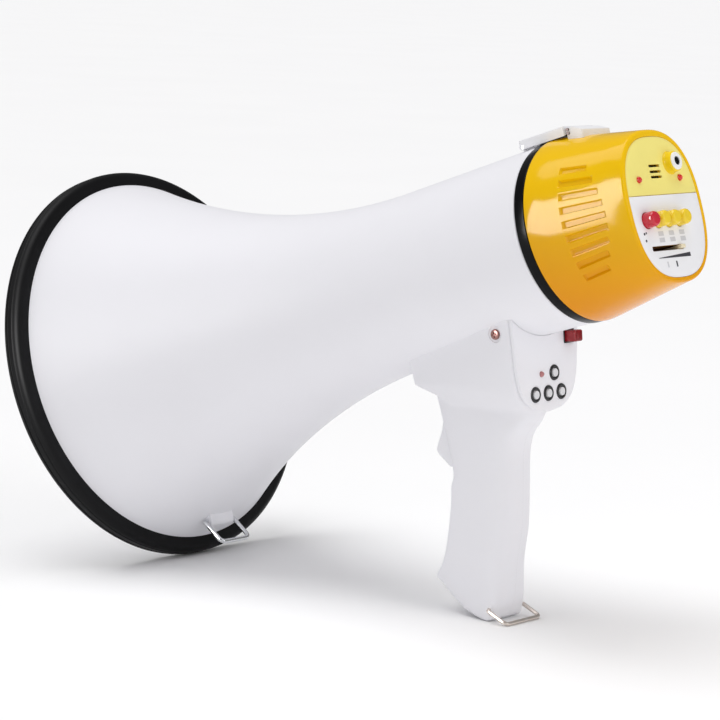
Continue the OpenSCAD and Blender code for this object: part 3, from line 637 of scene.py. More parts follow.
def make_reflector():
    def cup_r(x):
        return 34 * math.sin(math.pi / 2 * min(1, (x - 71) / 52)) ** 0.7

    xs = steps(72.6, 151.4, 48)
    outer = [(72, 0)] + [(x, cup_r(x)) for x in xs] + [(152, 33.6)]
    inner = [(151.8, 32.2)] + [(x, cup_r(x) - 2) for x in reversed(xs) if x > 76] + [(76.4, 0)]
    piece(revolve(outer + inner, 128), "reflector_cup", "horn_body", white_in, sharp=45)
    fins = [slab(rounded(box_outline(124, 144, -1, 1), 0.6, 3), [], 15.2, 31.9, "xyz") for _ in range(3)]
    for i, fin in enumerate(fins):
        moved(fin, Matrix.Rotation(math.radians(60 + 120 * i), 4, "X"))
    bore = [(x, 9.1 + 9 * ((205 - x) / 109) ** 2 + 1.8) for x in steps(100, 144, 12)]
    hub = revolve(bore + [(144, 17.6), (143.4, 18.6), (100.6, 18.6), (100, 18)], 96)
    shell = unite(hub, *fins)
    piece(shell, "reflector_fins", "horn_body", white_in)


def make_gasket():
    r = CAP_R - 0.3
    x1 = CAP_X - 0.1
    loop = [(BODY_L + 0.5, r), (x1 - 0.5, r), (x1, r - 0.5), (x1, NECK_R), (BODY_L, NECK_R),
            (BODY_L, r - 0.5)]
    loop = rounded(loop, 0.3, 2)
    piece(revolve(loop), "gasket_ring", "horn_body", gasket_rubber)


# ---- Rear cap ----

GROOVE_PITCH = 9.5
GROOVES = [(i - 4) * GROOVE_PITCH for i in range(9)]
GROOVE_DROP = 1


def groove_depth(x, turn):
    """Depth of the finger grooves at x, turn degrees from the middle of a side."""
    nearest = min(GROOVES, key=lambda g: abs(turn - g))
    across = abs(turn - nearest) * math.pi / 180 * 44
    length = 23 - 8 * (nearest / 38) ** 2
    start = CAP_X + 19.5
    side = smoothstep((1.95 - across) / 0.55)
    ends = smoothstep((x - start) / 0.6) * smoothstep((start + length - x) / 1.4)
    return 1.5 * side * ends


def hole_loops():
    holes = [circle(KEY_R + 0.3, (y, KEY_Z), 40) for y in KEY_Y]
    holes.append(circle(3.2, JACK))
    holes += [circle(1.75, (s * LED[0], LED[1]), 24) for s in (-1, 1)]
    holes += [rounded(box_outline(MIC_Y - 5, MIC_Y + 5, z - 0.7, z + 0.7), 0.6, 4) for z in MIC_Z]
    half = SLOT_L / 2
    holes.append(rounded(box_outline(SLOT_Y - half, SLOT_Y + half, SLOT_Z - SLOT_H / 2, SLOT_Z + SLOT_H / 2),
                         0.9, 4))
    return holes


def fill_between(bm, edge_ring, x, holes):
    """A flat wall at x from a ring of vertices to the edges of the holes; gives back the holes' rings."""
    edges = []
    for i in range(len(edge_ring)):
        edge = bm.edges.get((edge_ring[i - 1], edge_ring[i]))
        edges.append(edge or bm.edges.new((edge_ring[i - 1], edge_ring[i])))
    rings = []
    for loop in holes:
        ring = [bm.verts.new((x, y, z)) for y, z in loop]
        edges += [bm.edges.new((ring[i - 1], ring[i])) for i in range(len(ring))]
        rings.append(ring)
    bmesh.ops.triangle_fill(bm, use_beauty=True, edges=edges)
    return rings


def cap_r(x, rear_r):
    """The cap's radius behind its shoulder, on a line that reaches rear_r at its rear edge."""
    return SHOULDER_R + (rear_r - SHOULDER_R) / (REAR_X - SHOULDER_X) * (x - SHOULDER_X)


def make_cap():
    angles = []
    for turned in (0, 180):
        angles += [turned + a for a in steps(-46, 46, 230)]
        angles += [turned + a for a in steps(46, 134, 60)[1:-1]]
    rows = steps(CAP_X + 18.6, CAP_X + 43.8, 56)
    columns = []
    for degrees in angles:
        a = math.radians(degrees)
        turn = (degrees + 90) % 180 - 90
        turn += -GROOVE_DROP if 90 < degrees < 270 else GROOVE_DROP
        corner_r = egg_radius(a, *REAR_OVAL)
        plate_r = egg_radius(a, PLATE_W + 0.05, PLATE_H + 0.05, 2.6, PLATE_Z)
        last_x = rows[-1] + 0.5
        rear = [(last_x, cap_r(last_x, corner_r)), (REAR_X, corner_r),
                (REAR_X, plate_r), (REAR_X - PLATE_T, plate_r)]
        rear = rounded(rear, [0, 3.1, 0.35, 0], 7, closed=False)
        side = [(x, cap_r(x, corner_r) - groove_depth(x, turn)) for x in rows]
        front = [(CAP_X, CAP_R - 0.5), (CAP_X + 0.5, CAP_R), (CAP_X + 2, CAP_R - 0.05),
                 (CAP_X + 5, CAP_R - 0.45), (SHOULDER_X, SHOULDER_R)]
        front += [(x, cap_r(x, corner_r)) for x in (CAP_X + 12, CAP_X + 16)]
        inside_x = REAR_X - CAP_WALL
        inner = [(inside_x, plate_r + 0.3), (inside_x - 2, corner_r - 2.6)]
        inner += [(x, cap_r(x, corner_r) - 2.5 - groove_depth(x, turn) * 0.3)
                  for x in (CAP_X + 44, CAP_X + 36, CAP_X + 26, CAP_X + 18)]
        inner += [(SHOULDER_X, SHOULDER_R - 2.5), (CAP_X, CAP_R - CAP_WALL)]
        columns.append((a, front + side + rear, inner))
    bm = bmesh.new()

    def ring(points):
        return [bm.verts.new((x, r * math.cos(a), r * math.sin(a))) for a, (x, r) in points]

    outer_rings = [ring([(a, outer[k]) for a, outer, _ in columns]) for k in range(len(columns[0][1]))]
    inner_rings = [ring([(a, inner[k]) for a, _, inner in columns]) for k in range(len(columns[0][2]))]
    skin_rings(bm, outer_rings, closed=False)
    skin_rings(bm, inner_rings, closed=False)
    skin_rings(bm, [inner_rings[-1], outer_rings[0]], closed=False)
    holes = hole_loops()
    outside = fill_between(bm, outer_rings[-1], REAR_X - PLATE_T, holes)
    inside = fill_between(bm, inner_rings[0], REAR_X - CAP_WALL, holes)
    for a, b in zip(outside, inside):
        skin_rings(bm, [a, b], closed=False)
    cap = to_object(bm)
    tongue = bevel(block(BODY_L + 4.5, CAP_X + 9.5, -7, 7, -43.6, -41.6), 0.4)
    root = block(CAP_X + 6, CAP_X + 9, -7, 7, -46.8, -41.8)
    posts = []
    for s in (-1, 1):
        post = rod((REAR_X - 16, s * 26, 2), (REAR_X - 1.9, s * 26, 2), 3)
        posts.append(cut(post, rod((REAR_X - 17, s * 26, 2), (REAR_X - 7, s * 26, 2), 1.25)))
    unite(cap, tongue, root, *posts)
    piece(cap, "rear_cap", "rear_cap", yellow, sharp=38)


def half_plate(low, high):
    """The part of the label's oval between two heights."""
    points = [p for p in egg(PLATE_W - 0.1, PLATE_H - 0.1, 2.6, 160, PLATE_Z) if low < p[1] < high]
    for level in (low, high):
        if abs(level - PLATE_Z) < PLATE_H:
            drop = (abs(level - PLATE_Z) / (PLATE_H - 0.1)) ** 2.6
            width = (PLATE_W - 0.1) * (1 - drop) ** (1 / 2.6)
            points += [(-width, level), (width, level)]
    centre_z = (min(p[1] for p in points) + max(p[1] for p in points)) / 2
    return sorted(points, key=lambda p: math.atan2(p[1] - centre_z, p[0]))


def make_plates():
    holes = hole_loops()
    x0 = REAR_X - PLATE_T
    x1 = REAR_X - 0.2
    upper = slab(half_plate(5.1, 60), holes[4:10], x0, x1)
    # The upper plate is the cap's yellow plastic, paled by a painted highlight
    piece(bevel(upper, 0.18, 2), "mic_plate", "rear_cap", yellow_painted_highlight)
    lower = slab(half_plate(-60, 4.8), holes[:4] + holes[10:], x0, x1)
    piece(bevel(lower, 0.18, 2), "control_plate", "rear_cap", white_label)
    # Generic printed marks: a wedge that grows with the volume, and plain dots, bars and blocks
    marks = [[(-16.5, -27.7), (12.3, -26), (12.3, -28.2), (-16.5, -28)],
             circle(0.7, (-24.6, -14.8), 16), circle(0.6, (-22.9, -14.4), 16),
             circle(0.7, (-24.2, -18.4), 16), box_outline(-2.3, -1.1, -33, -30)]
    x0 = REAR_X - 0.25
    bars = [slab(mark, [], x0, x0 + 0.11) for mark in marks]
    piece(joined(*bars), "", "rear_cap", ink, name="volume_marks", stands_for=False)
    faint = [slab(box_outline(-10.3, -9.1, -33, -30), [], x0, x0 + 0.1)]
    for y in KEY_Y[1:]:
        for z in (-15.2, -18.6):
            faint.append(slab(box_outline(y - 2.3, y + 2.3, z - 1.2, z + 1.2), [], x0, x0 + 0.1))
    piece(joined(*faint), "", "rear_cap", pale_ink, name="key_marks", stands_for=False)


def make_keys():
    tip = REAR_X + 6
    stem = REAR_X - 12.4
    names = ["siren_key", "talk_key", "music_key", "record_key"]
    for name, y in zip(names, KEY_Y):
        loop = [(stem, 0), (stem, 1.9), (REAR_X - 5.5, 1.9), (REAR_X - 5.5, KEY_R)]
        loop += [(REAR_X, KEY_R), (tip - 2.2, KEY_R - 0.1)]
        loop += arc(tip - 2.2, KEY_R - 1.5, 2.2, 1.4, 8, 0.2)
        loop += [(tip - 0.12, 1.6), (tip - 0.2, 0)]
        colour, slot_name = (red_key, "red_key") if name == "siren_key" else (yellow_key, "yellow_key")
        piece(revolve(loop, 64, (0, y, KEY_Z)), name, name, colour)


def make_jack():
    at = (0, *JACK)
    top = REAR_X + JACK_PROUD
    boss = [(REAR_X - CAP_WALL, 3.02), (top, 3.02), (top, 4.9), (top - 0.5, 5.4), (REAR_X + 0.8, 5.5),
            (REAR_X, 5.9), (REAR_X - 0.2, 6.2), (REAR_X - 0.2, 3.2), (REAR_X - CAP_WALL, 3.2)]
    piece(revolve(boss, 72, at), "jack_boss", "rear_cap", boss_yellow)
    face = top + 0.8
    socket = [(REAR_X - 10, 2.35), (face - 0.05, 2.35), (face, 2.4), (face, 4.2), (face - 0.4, 4.7),
              (top, 4.7), (top, 2.98), (REAR_X - 3, 2.98), (REAR_X - 10, 2.98)]
    body = block(REAR_X - 12, REAR_X - 3, JACK[0] - 4.5, JACK[0] + 4.5, JACK[1] - 4.5, JACK[1] + 4.5)
    bevel(body, 0.4)
    cut(body, rod((REAR_X - 10.5, *JACK), (REAR_X, *JACK), 2.4))
    piece(unite(body, revolve(socket, 72, at)), "jack_socket", "rear_cap", white_ring)
    liner = [(REAR_X - 10.4, 0), (REAR_X - 10.4, 2.3), (face - 0.5, 2.3), (face - 0.35, 2.15),
             (face - 0.9, 1.8), (REAR_X - 9.6, 1.8), (REAR_X - 9.6, 0)]
    piece(revolve(liner, 72, at), "", "rear_cap", black, name="jack_liner", stands_for=False)
    lamps = []
    for s in (-1, 1):
        dome = [(REAR_X - 6, 0), (REAR_X - 6, 1.7)]
        dome += [*arc(REAR_X - 0.2, 0, 1.7, 1.7, 8)[:-1], (REAR_X + 1.5, 0)]
        lamps.append(revolve(dome, 48, (0, s * LED[0], LED[1])))
    piece(joined(*lamps), "indicator_leds", "rear_cap", red_lens)


def make_slider():
    rest = SLOT_Y + 11
    stem = block(REAR_X - 14, REAR_X - 1, rest - 1.2, rest + 1.2, SLOT_Z - 0.9, SLOT_Z + 0.9)
    knob = block(REAR_X - 1.4, REAR_X + 1.8, rest - 2, rest + 2, SLOT_Z - 1, SLOT_Z + 1)
    bevel(knob, 0.35)
    piece(unite(stem, knob), "volume_slider", "volume_slider", ivory)


# ---- Latch ----

def make_latch():
    px, pz = LATCH_PIVOT
    x0 = px - 1.6
    x1 = KEEPER_X - 0.8
    inner = LATCH_HALF - LATCH_WALL
    lever = block(x0, x1, -LATCH_HALF, LATCH_HALF, pz, LATCH_ROOF + 1.5)
    bevel(lever, 0.6, 4)
    cut(lever, block(x0 - 1, x1 + 1, -inner, inner, pz - 2, LATCH_ROOF))
    parts = []
    for s in (-1, 1):
        y0, y1 = sorted((s * inner, s * LATCH_HALF))
        parts.append(bevel(block(px, x1, y0, y1, pz - 1.4, LATCH_ROOF - 0.2), 0.4))
        parts.append(bevel(block(BODY_L - 2, x1, y0, y1, 46.6, LATCH_ROOF - 1), 0.5))
        parts.append(rod((px, y0, pz), (px, y1, pz), 1.8))
    unite(lever, *parts)
    pin_hole = cross_rod(px, pz, 20, 1.15)
    cap_room = rod((BODY_L - 4, 0, 0), (BODY_L + 36, 0, 0), CAP_R + 0.5, 192)
    # Three shallow grip lines across the lever's free end
    lines = [block(x, x + 0.9, -9, 9, LATCH_ROOF + 1.1, LATCH_ROOF + 3) for x in (322, 325, 328)]
    cut(lever, pin_hole, cap_room, *lines)
    piece(lever, "latch_lever", "latch_lever", white_small)

    keeper = block(KEEPER_X, KEEPER_X + KEEPER_L, -KEEPER_HALF, KEEPER_HALF, 44, KEEPER_TOP)
    bevel(keeper, 0.5, 3)
    slope = Matrix.Translation((KEEPER_X + 3.6, 0, KEEPER_TOP)) @ Matrix.Rotation(math.radians(26), 4, "Y")
    ramp = moved(block(-2, 14, -14, 14, 0, 9), slope)
    pin_x = KEEPER_X + 1.4
    pins = [cross_rod(pin_x, z, 20, 0.82) for z in KEEPER_PINS]
    cut(keeper, ramp, cap_filler(), *pins)
    piece(keeper, "latch_keeper", "rear_cap", white_small)

    ear_in, ear_out = EAR_Y
    x0 = px - EAR_R
    base = rod((x0, 0, 0), (BODY_L - 0.5, 0, 0), horn_r(BODY_L) + 1.6, 192)
    keep(base, block(x0, BODY_L, -ear_out, ear_out, 20, 80))
    bevel(base, 0.4, 3)
    ears = []
    for s in (-1, 1):
        y0, y1 = sorted((s * ear_in, s * ear_out))
        ear = rod((px, y0, pz), (px, y1, pz), EAR_R)
        ears.append(unite(ear, block(x0, px + EAR_R, y0, y1, 46, pz)))
    unite(base, *ears)
    gap = block(x0 - 1, x0 + 4.4, -ear_in, ear_in, 40, 60)
    cut(base, cross_rod(px, pz, 20, 1.12), gap, horn_filler())
    piece(base, "latch_base", "horn_body", white_small)


def cap_filler():
    """A solid of the cap's upper outside, to trim what sits on it."""
    top_r = egg_radius(math.pi / 2, *REAR_OVAL)
    line = [(CAP_X, CAP_R - 0.02), (SHOULDER_X, SHOULDER_R - 0.02), (REAR_X, top_r - 0.02)]
    return revolve([(CAP_X, 0), *line, (REAR_X, 0)], 192)


def horn_filler(gap=0.0):
    """A solid of the horn's outside, to trim what sits on it."""
    outer = [(x, horn_r(x) + gap) for x in steps(EDGE_X, FLARE_L, 60)]
    return revolve([(EDGE_X, 0), *outer, (BODY_L + 0.01, horn_r(BODY_L) + gap), (BODY_L + 0.01, 0)])


# ---- Handle ----

GRIP_FRONT = [(208.5, -60), (208.5, -104.8), (204.8, -114), (202, -123), (197, -135), (191.2, -147),
              (186.5, -154), (180.5, -160), (184, -164.5), (187.3, -170), (192.6, -177.3), (198.6, -183),
              (206, -187.9), (211.8, -190)]
GRIP_BACK = [(268, -60), (268, -87), (257.5, -95.5), (251.5, -105), (246.5, -121), (239, -144.5),
             (230.5, -162), (223.5, -180), (218.3, -186.6), (216.5, -189)]


def along(points, n):
    """n + 1 points evenly spaced along a smooth curve through the given ones."""
    dense = []
    count = len(points)
    for i in range(count - 1):
        p0 = Vector(points[max(i - 1, 0)])
        p1 = Vector(points[i])
        p2 = Vector(points[i + 1])
        p3 = Vector(points[min(i + 2, count - 1)])
        for k in range(12):
            t = k / 12
            dense.append(0.5 * (2 * p1 + (p2 - p0) * t + (2 * p0 - 5 * p1 + 4 * p2 - p3) * t * t
                                + (3 * p1 - p0 - 3 * p2 + p3) * t ** 3))
    dense.append(Vector(points[-1]))
    lengths = [0.0]
    for a, b in zip(dense, dense[1:]):
        lengths.append(lengths[-1] + (b - a).length)
    result = []
    j = 0
    for s in steps(0, lengths[-1], n):
        while j < len(dense) - 2 and lengths[j + 1] < s:
            j += 1
        span = lengths[j + 1] - lengths[j] or 1
        result.append(dense[j].lerp(dense[j + 1], min(1, (s - lengths[j]) / span)))
    return result


def panel_width(t):
    return 30.5 * (1 - 0.17 * t) * math.sqrt(max(0, 1 - t ** 7))


def panel_outline(inset=0.0, n=28):
    right = [(max(0.05, panel_width(t) - inset), -t * (PANEL_H - inset)) for t in steps(0, 1, n)]
    return right[:-1] + [(0, right[-1][1])] + [(-u, v) for u, v in reversed(right[:-1])]


def block_points(skin):
    points = []
    for depth in (-3, -2):
        points += [PANEL @ Vector((depth, u, v)) for u, v in panel_outline(skin)]
        points += [PANEL @ Vector((depth, s * (30.5 - skin), z)) for s in (-1, 1) for z in (4, 12)]
    for x, y, z0, z1 in ((203 + skin, 19 - skin, -56.5 + skin, -32.5), (223, 15 - skin, -71.5 + skin, -51.5)):
        points += [Vector((x, s * y, z)) for s in (-1, 1) for z in (z0, z1)]
    return points


def grip_loft(n=64, sides=64):
    """The grip's solid, lofted between its front and back lines: squarer in front, rounder behind."""
    bm = bmesh.new()
    rings = []
    for f, b in zip(along(GRIP_FRONT, n), along(GRIP_BACK, n)):
        ring = []
        for k in range(sides):
            a = math.tau * k / sides
            c, s = math.cos(a), math.sin(a)
            power = 5.0 if c > 0 else 3.0
            u = math.copysign(abs(c) ** (2 / power), c)
            v = math.copysign(abs(s) ** (2 / power), s)
            p = (f + b) / 2 + (f - b) / 2 * u
            ring.append(bm.verts.new((p.x, GRIP_T / 2 * v, p.y)))
        rings.append(ring)
    skin_rings(bm, rings, closed=False)
    for ring in (rings[0], rings[-1]):
        bm.faces.new(ring)
    return to_object(bm)


def soften(obj, iterations, group=""):
    modifier = obj.modifiers.new("soften", "SMOOTH")
    modifier.factor = 0.5
    modifier.iterations = iterations
    modifier.vertex_group = group


def make_handle():
    body = bevel(hull(block_points(0)), 2.2, 3, 25)
    unite(body, grip_loft())
    remesh = body.modifiers.new("remesh", "REMESH")
    remesh.mode = "VOXEL"
    remesh.voxel_size = 0.9
    applied(body)
    # The corner between the block and the grip gets a wider fillet than the outer edges
    corner = body.vertex_groups.new(name="corner")
    for vertex in body.data.vertices:
        x, _, z = vertex.co
        if x > 214 and -104 < z < -72:
            weight = smoothstep((x - 214) / 8) * smoothstep(2.2 - abs(z + 88) / 8)
            corner.add([vertex.index], weight, "REPLACE")
    soften(body, 8)
    soften(body, 70, "corner")
    applied(body)
    soften(body, 4)
    applied(body)
    hollow = hull(block_points(2.6))
    inner = [(213, -60), (213, -104), (208.5, -116), (206, -126), (200.5, -138), (194.6, -149.5),
             (187.2, -161), (196, -173.8), (219, -173.8), (226, -160), (234.4, -143), (241.8, -120),
             (247, -103), (254, -91), (262, -84.5), (262, -60)]
    unite(hollow, slab(inner, [], -10.4, 10.4, "xzy"))
    bosses = [cross_rod(x, z, 13, 3.6) for x, z in GRIP_SCREWS]
    tx, tz = TRIGGER_PIVOT
    bosses.append(cross_rod(tx, tz, 12, 3.4))
    bosses.append(block(228, 230, -13, 13, -93, -83))
    bosses.append(block(228, 237, -13, 13, -107, -105))
    cut(hollow, *bosses)
    slot_outline = [(190, -72), (213, -69.6), (224, -69.6), (227.5, -82), (227.5, -97), (219, -105.2),
                    (190, -105.2)]
    tools = [hollow, horn_filler(0.02), slab(slot_outline, [], -10.5, 10.5, "xzy")]
    tools.append(cross_rod(tx, tz, 12, 1.52))
    for x, z in GRIP_SCREWS:
        tools.append(rod((x, 3 - GRIP_T / 2, z), (x, 20, z), 1.52))
        tools.append(rod((x, GRIP_T / 2 - 3, z), (x, 20, z), 2.95))
    for s in (-1, 1):
        x, z = SIDE_SCREW
        dish = [(20, 0), (20, 1.62), (27.6, 1.62), (27.6, 4.2), (28.4, 4.6), (31.4, 6.6), (40, 7), (40, 0)]
        turn = Matrix.Translation((x, 0, z)) @ Matrix.Rotation(math.radians(90 * s), 4, "Z")
        tools.append(moved(revolve(dish, 48), turn))
        x, z = LOOP_PIVOT
        tools.append(rod((x, s * 8, z), (x, s * 20, z), LOOP_WIRE + 0.06))
    panel_space = moved(slab(panel_outline(0.1), [], -2.02, 4), PANEL)
    tools.append(panel_space)
    cut(body, *tools)
    left = copy_of(body, Matrix.Identity(4))
    keep(left, block(150, 320, 0.03, 60, -230, 0))
    keep(body, block(150, 320, -60, -0.03, -230, 0))
    piece(left, "grip_left", "horn_body", white, sharp=40)
    piece(body, "grip_right", "horn_body", white, sharp=40)


def make_panel():
    holes = [circle(4.22, spot, 40) for spot in PLAYER]
    holes.append(circle(1.56, PLAYER_LED, 20))
    ly, lz = LOCK
    w, h = LOCK_FRAME
    holes.append(rounded(box_outline(ly - w, ly + w, lz - h, lz + h), 0.8, 4))
    outline = panel_outline(0.6)
    outline[0] = (29.9, 6)
    outline[-1] = (-29.9, 6)
    plate = bevel(slab(outline, holes, -2, 0), 0.35, 3, 40)
    moved(plate, PANEL)
    cut(plate, horn_filler(0.2))
    piece(plate, "panel_plate", "horn_body", white)
    rings = []
    for spot in PLAYER:
        loop = [(-2.6, 2.66), (0.2, 2.66), (0.5, 2.95), (0.62, 3.5), (0.45, 4.0), (0, 4.2), (-2.6, 4.2)]
        rings.append(revolve(loop, 56, (0, *spot)))
    piece(moved(joined(*rings), PANEL), "player_bezels", "horn_body", black)
    for i, spot in enumerate(PLAYER):
        loop = [(-2.9, 0), (-2.9, 2.3), (0.7, 2.3), (1.0, 2.1), (1.12, 1.7), (1.02, 0.8), (0.96, 0)]
        name = f"player_button_{i + 1}"
        piece(moved(revolve(loop, 48, (0, *spot)), PANEL), name, name, button_white)
    lamp = [(-7, 0), (-7, 1.5), *arc(0, 0, 1.5, 1.5, 6)[:-1], (1.5, 0)]
    piece(moved(revolve(lamp, 36, (0, *PLAYER_LED)), PANEL), "player_led", "horn_body", dim_lens)
    w, h = LOCK_HALF
    button = bevel(block(-1.5, 7, ly - w, ly + w, lz - h, lz + h), 1.0, 4)
    rows = [ly + y for y in (-2.4, -1.2, 0, 1.2, 2.4)]
    ribs = [block(1.5, 8, y - 0.28, y + 0.28, z - 0.4, z + 0.4) for y in rows for z in (lz - h, lz + h)]
    ribs += [block(6.6, 8, y - 0.28, y + 0.28, lz - 2.4, lz + 2.4) for y in rows]
    cut(button, *ribs)
    unite(button, block(-5, -1, ly - 1.5, ly + 1.5, lz - 1.5, lz + 1.5))
    piece(moved(button, PANEL), "lock_button", "lock_button", dark_red)


def make_trigger():
    outline = [(213.6, -70.6), (211.6, -76), (207.6, -84), (203.8, -89), (201.2, -93.2), (202.2, -95.6),
               (206, -101), (208.2, -104), (215, -103.6), (220.6, -95), (221.6, -82), (220.6, -71.4)]
    radii = [1.5, 10, 14, 8, 2.2, 6, 2, 1.5, 3, 6, 8, 1.5]
    shape = slab(rounded(outline, radii, 5), [], -10, 10, "xzy")
    bevel(shape, 1.8, 4, 50)
    tx, tz = TRIGGER_PIVOT
    x0, x1 = SPRING_X
    pocket = rod((x0 - 0.6, 0, SPRING_Z), (x1 + 2, 0, SPRING_Z), 3.4)
    cut(shape, cross_rod(tx, tz, 20, 1.57), pocket)
    piece(shape, "trigger", "trigger", white)
    # The return spring, built as a fixed coil; on the real megaphone it shortens as the trigger is pulled
    turns = 6
    coil_r = 2.1
    path = [(x0 + (x1 - x0) * a / (turns * math.tau), coil_r * math.cos(a), SPRING_Z + coil_r * math.sin(a))
            for a in steps(0, turns * math.tau, turns * 24)]
    coil = piece(tube(path, 0.4, 10), "trigger_spring", "horn_body", spring)
    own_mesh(coil)


def cross_screw(r, height, shank_r, shank):
    """A domed screw with a cross recess: its head's underside at x = 0, pointing to +x."""
    head = [(-shank, 0), (-shank, shank_r), (0, shank_r), (0, r), (height * 0.35, r)]
    head += arc(height * 0.35, r * 0.25, height * 0.65, r * 0.75, 6, 0.3)
    head.append((height, 0))
    shape = revolve(head, 48)
    w = r * 0.16
    return cut(shape, block(height * 0.45, height + 1, -r * 0.6, r * 0.6, -w, w),
               block(height * 0.45, height + 1, -w, w, -r * 0.6, r * 0.6))


def make_screws():
    x, z = SIDE_SCREW
    pair = []
    for s in (-1, 1):
        turn = Matrix.Rotation(math.radians(90 * s), 4, "Z")
        pair.append(moved(cross_screw(2.8, 1.6, 1.6, 5.4), Matrix.Translation((x, s * 27.6, z)) @ turn))
    piece(joined(*pair), "side_screws", "horn_body", warm_screw)
    row = []
    for x, z in GRIP_SCREWS:
        turn = Matrix.Translation((x, GRIP_T / 2 - 3, z)) @ Matrix.Rotation(math.radians(90), 4, "Z")
        row.append(moved(cross_screw(2.8, 2.2, 1.5, 20), turn))
    piece(joined(*row), "grip_screws", "horn_body", screw)


# ---- Wire rings ----

def make_rings():
    pivot = Vector((21.5, 0, -(horn_r(21.5) + 1.6)))
    swing = Matrix.Translation(pivot) @ Matrix.Rotation(math.radians(-36), 4, "Y")
    corners = rounded([(12, 0), (12, -17), (-12, -17), (-12, 0)], [1.4, 3.6, 3.6, 1.4], 8)
    bail = moved(tube([(0, u, v) for u, v in corners], 1.3, 24, closed=True), swing)
    piece(bail, "horn_bail", "horn_bail", bright_wire)

    saddle = rod(pivot - Vector((0, 9.5, 0)), pivot + Vector((0, 9.5, 0)), 3.2, 40)
    unite(saddle, block(pivot.x - 3.2, pivot.x + 3.2, -9.5, 9.5, pivot.z, pivot.z + 4))
    bevel(saddle, 0.6, 3, 50)
    cut(saddle, rod(pivot - Vector((0, 20, 0)), pivot + Vector((0, 20, 0)), 1.36), horn_filler())
    piece(saddle, "bail_saddle", "horn_body", white)

    pivot = Vector((LOOP_PIVOT[0], 0, LOOP_PIVOT[1]))
    height = (LEVEL @ pivot).z / MM
    lean = TILT + math.asin((height - LOOP_WIRE - 0.2) / LOOP_L)
    half = GRIP_T / 2 + 1.4
    route = rounded([(0, 9), (0, half), (LOOP_L, half), (LOOP_L, -half), (0, -half), (0, -9)],
                    [0, 1.8, 2.6, 2.6, 1.8, 0], 7, closed=False)
    loop = tube([(u, v, 0) for u, v in route], LOOP_WIRE, 20)
    moved(loop, Matrix.Translation(pivot) @ Matrix.Rotation(lean, 4, "Y"))
    piece(loop, "strap_loop", "strap_loop", loop_steel)


# ---- Stage, lights and camera ----

def make_stage():
    bm = bmesh.new()
    rings = []
    for r in (0.4, 1.2, 4.0, 16.0, 70.0):
        angles = steps(0, math.tau, 96)[:-1]
        rings.append([bm.verts.new((r * math.cos(a), r * math.sin(a), 0)) for a in angles])
    centre = [bm.verts.new((0, 0, 0))]
    skin_rings(bm, [centre, *rings], closed=False)
    floor = to_object(bm, "studio_floor")
    for face in floor.data.polygons:
        if face.normal.z < 0:
            floor.data.flip_normals()
            break
    floor.data.materials.append(surface("studio_paper", (0.95, 0.95, 0.95), shade=0.99, rough=0.9,
                                        specular=0.1, broad=3))
    world = bpy.data.worlds.new("studio")
    bpy.context.scene.world = world
    world.use_nodes = True
    nodes = world.node_tree.nodes
    links = world.node_tree.links
    # Diffuse light, what shiny surfaces mirror, and the backdrop that the camera sees
    strengths = {"light": 0.53, "mirrored": 0.24, "backdrop": 0.955}
    skies = {}
    for name, strength in strengths.items():
        sky = nodes.new("ShaderNodeBackground")
        sky.inputs["Color"].default_value = (0.99, 0.985, 1, 1)
        sky.inputs["Strength"].default_value = strength
        skies[name] = sky.outputs["Background"]
    nodes.remove(nodes["Background"])
    path = nodes.new("ShaderNodeLightPath")
    shiny = nodes.new("ShaderNodeMixShader")
    links.new(path.outputs["Is Glossy Ray"], shiny.inputs["Fac"])
    links.new(skies["light"], shiny.inputs[1])
    links.new(skies["mirrored"], shiny.inputs[2])
    seen = nodes.new("ShaderNodeMixShader")
    links.new(path.outputs["Is Camera Ray"], seen.inputs["Fac"])
    links.new(shiny.outputs["Shader"], seen.inputs[1])
    links.new(skies["backdrop"], seen.inputs[2])
    links.new(seen.outputs["Shader"], nodes["World Output"].inputs["Surface"])


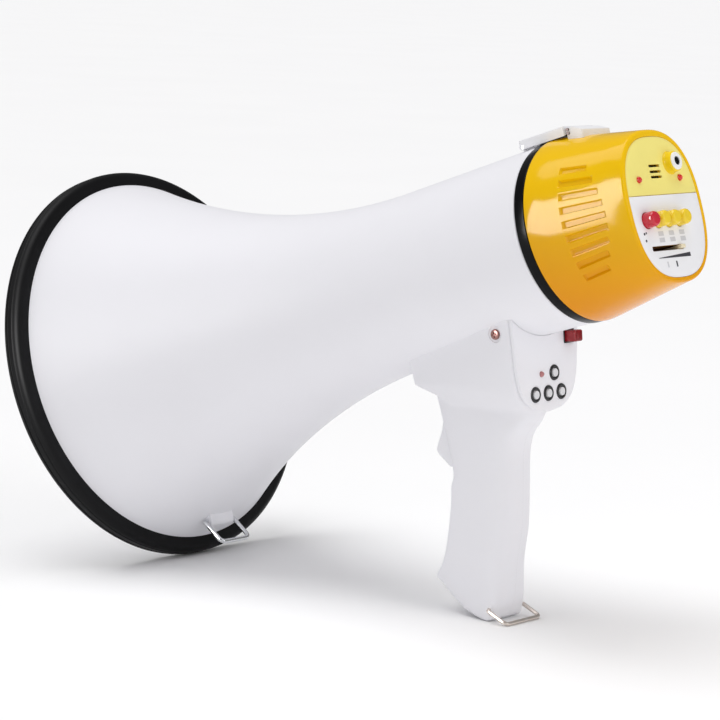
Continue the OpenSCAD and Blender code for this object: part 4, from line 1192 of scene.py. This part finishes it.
def area_light(name, spot, target, width, height, power, colour=(1, 1, 1)):
    data = bpy.data.lights.new(name, "AREA")
    data.shape = "RECTANGLE"
    data.size = width
    data.size_y = height
    data.energy = power
    data.color = colour
    lamp = bpy.data.objects.new(name, data)
    bpy.context.scene.collection.objects.link(lamp)
    lamp.location = spot
    lamp.rotation_euler = (Vector(target) - Vector(spot)).to_track_quat("-Z", "Y").to_euler()
    return lamp


def make_lights():
    data = bpy.data.lights.new("overhead", "SUN")
    data.energy = 1.6
    data.angle = math.radians(50)
    overhead = bpy.data.objects.new("overhead", data)
    bpy.context.scene.collection.objects.link(overhead)
    overhead.rotation_euler = Vector((-0.25, -0.12, 0.95)).to_track_quat("Z", "Y").to_euler()
    # The window that the cap mirrors, and a fill for the rear face
    window = area_light("window", (-0.045, -0.77, 0.42), (0.15, -0.048, 0.22), 0.5, 0.5, 13)
    window.visible_diffuse = False
    area_light("rear_fill", (1.5, 0.1, 0.75), (0.15, 0, 0.2), 0.8, 0.8, 4)


def make_camera():
    azimuth = math.radians(39.50)
    elevation = math.radians(7.90)
    roll = math.radians(2.106)
    aim = Vector((-0.05174, 0.05517, 0.11922))
    away = 1.750
    back = Vector((math.sin(azimuth) * math.cos(elevation), -math.cos(azimuth) * math.cos(elevation),
                   math.sin(elevation)))
    level = Vector((math.cos(azimuth), math.sin(azimuth), 0))
    up = back.cross(level)
    right = level * math.cos(roll) + up * math.sin(roll)
    up = back.cross(right)
    data = bpy.data.cameras.new("camera")
    data.lens = 150
    data.sensor_width = 36
    data.clip_end = 50
    camera = bpy.data.objects.new("camera", data)
    bpy.context.scene.collection.objects.link(camera)
    turn = Matrix((right, up, back)).transposed().to_4x4()
    camera.matrix_world = Matrix.Translation(aim + back * away) @ turn
    bpy.context.scene.camera = camera


make_camera()
finish_cad_nodes()
make_horn()
make_bumper()
make_reflector()
make_gasket()
make_cap()
make_plates()
make_keys()
make_jack()
make_slider()
make_latch()
make_handle()
make_panel()
make_trigger()
make_screws()
make_rings()
make_stage()
make_lights()
bpy.context.scene.view_settings.view_transform = "Standard"
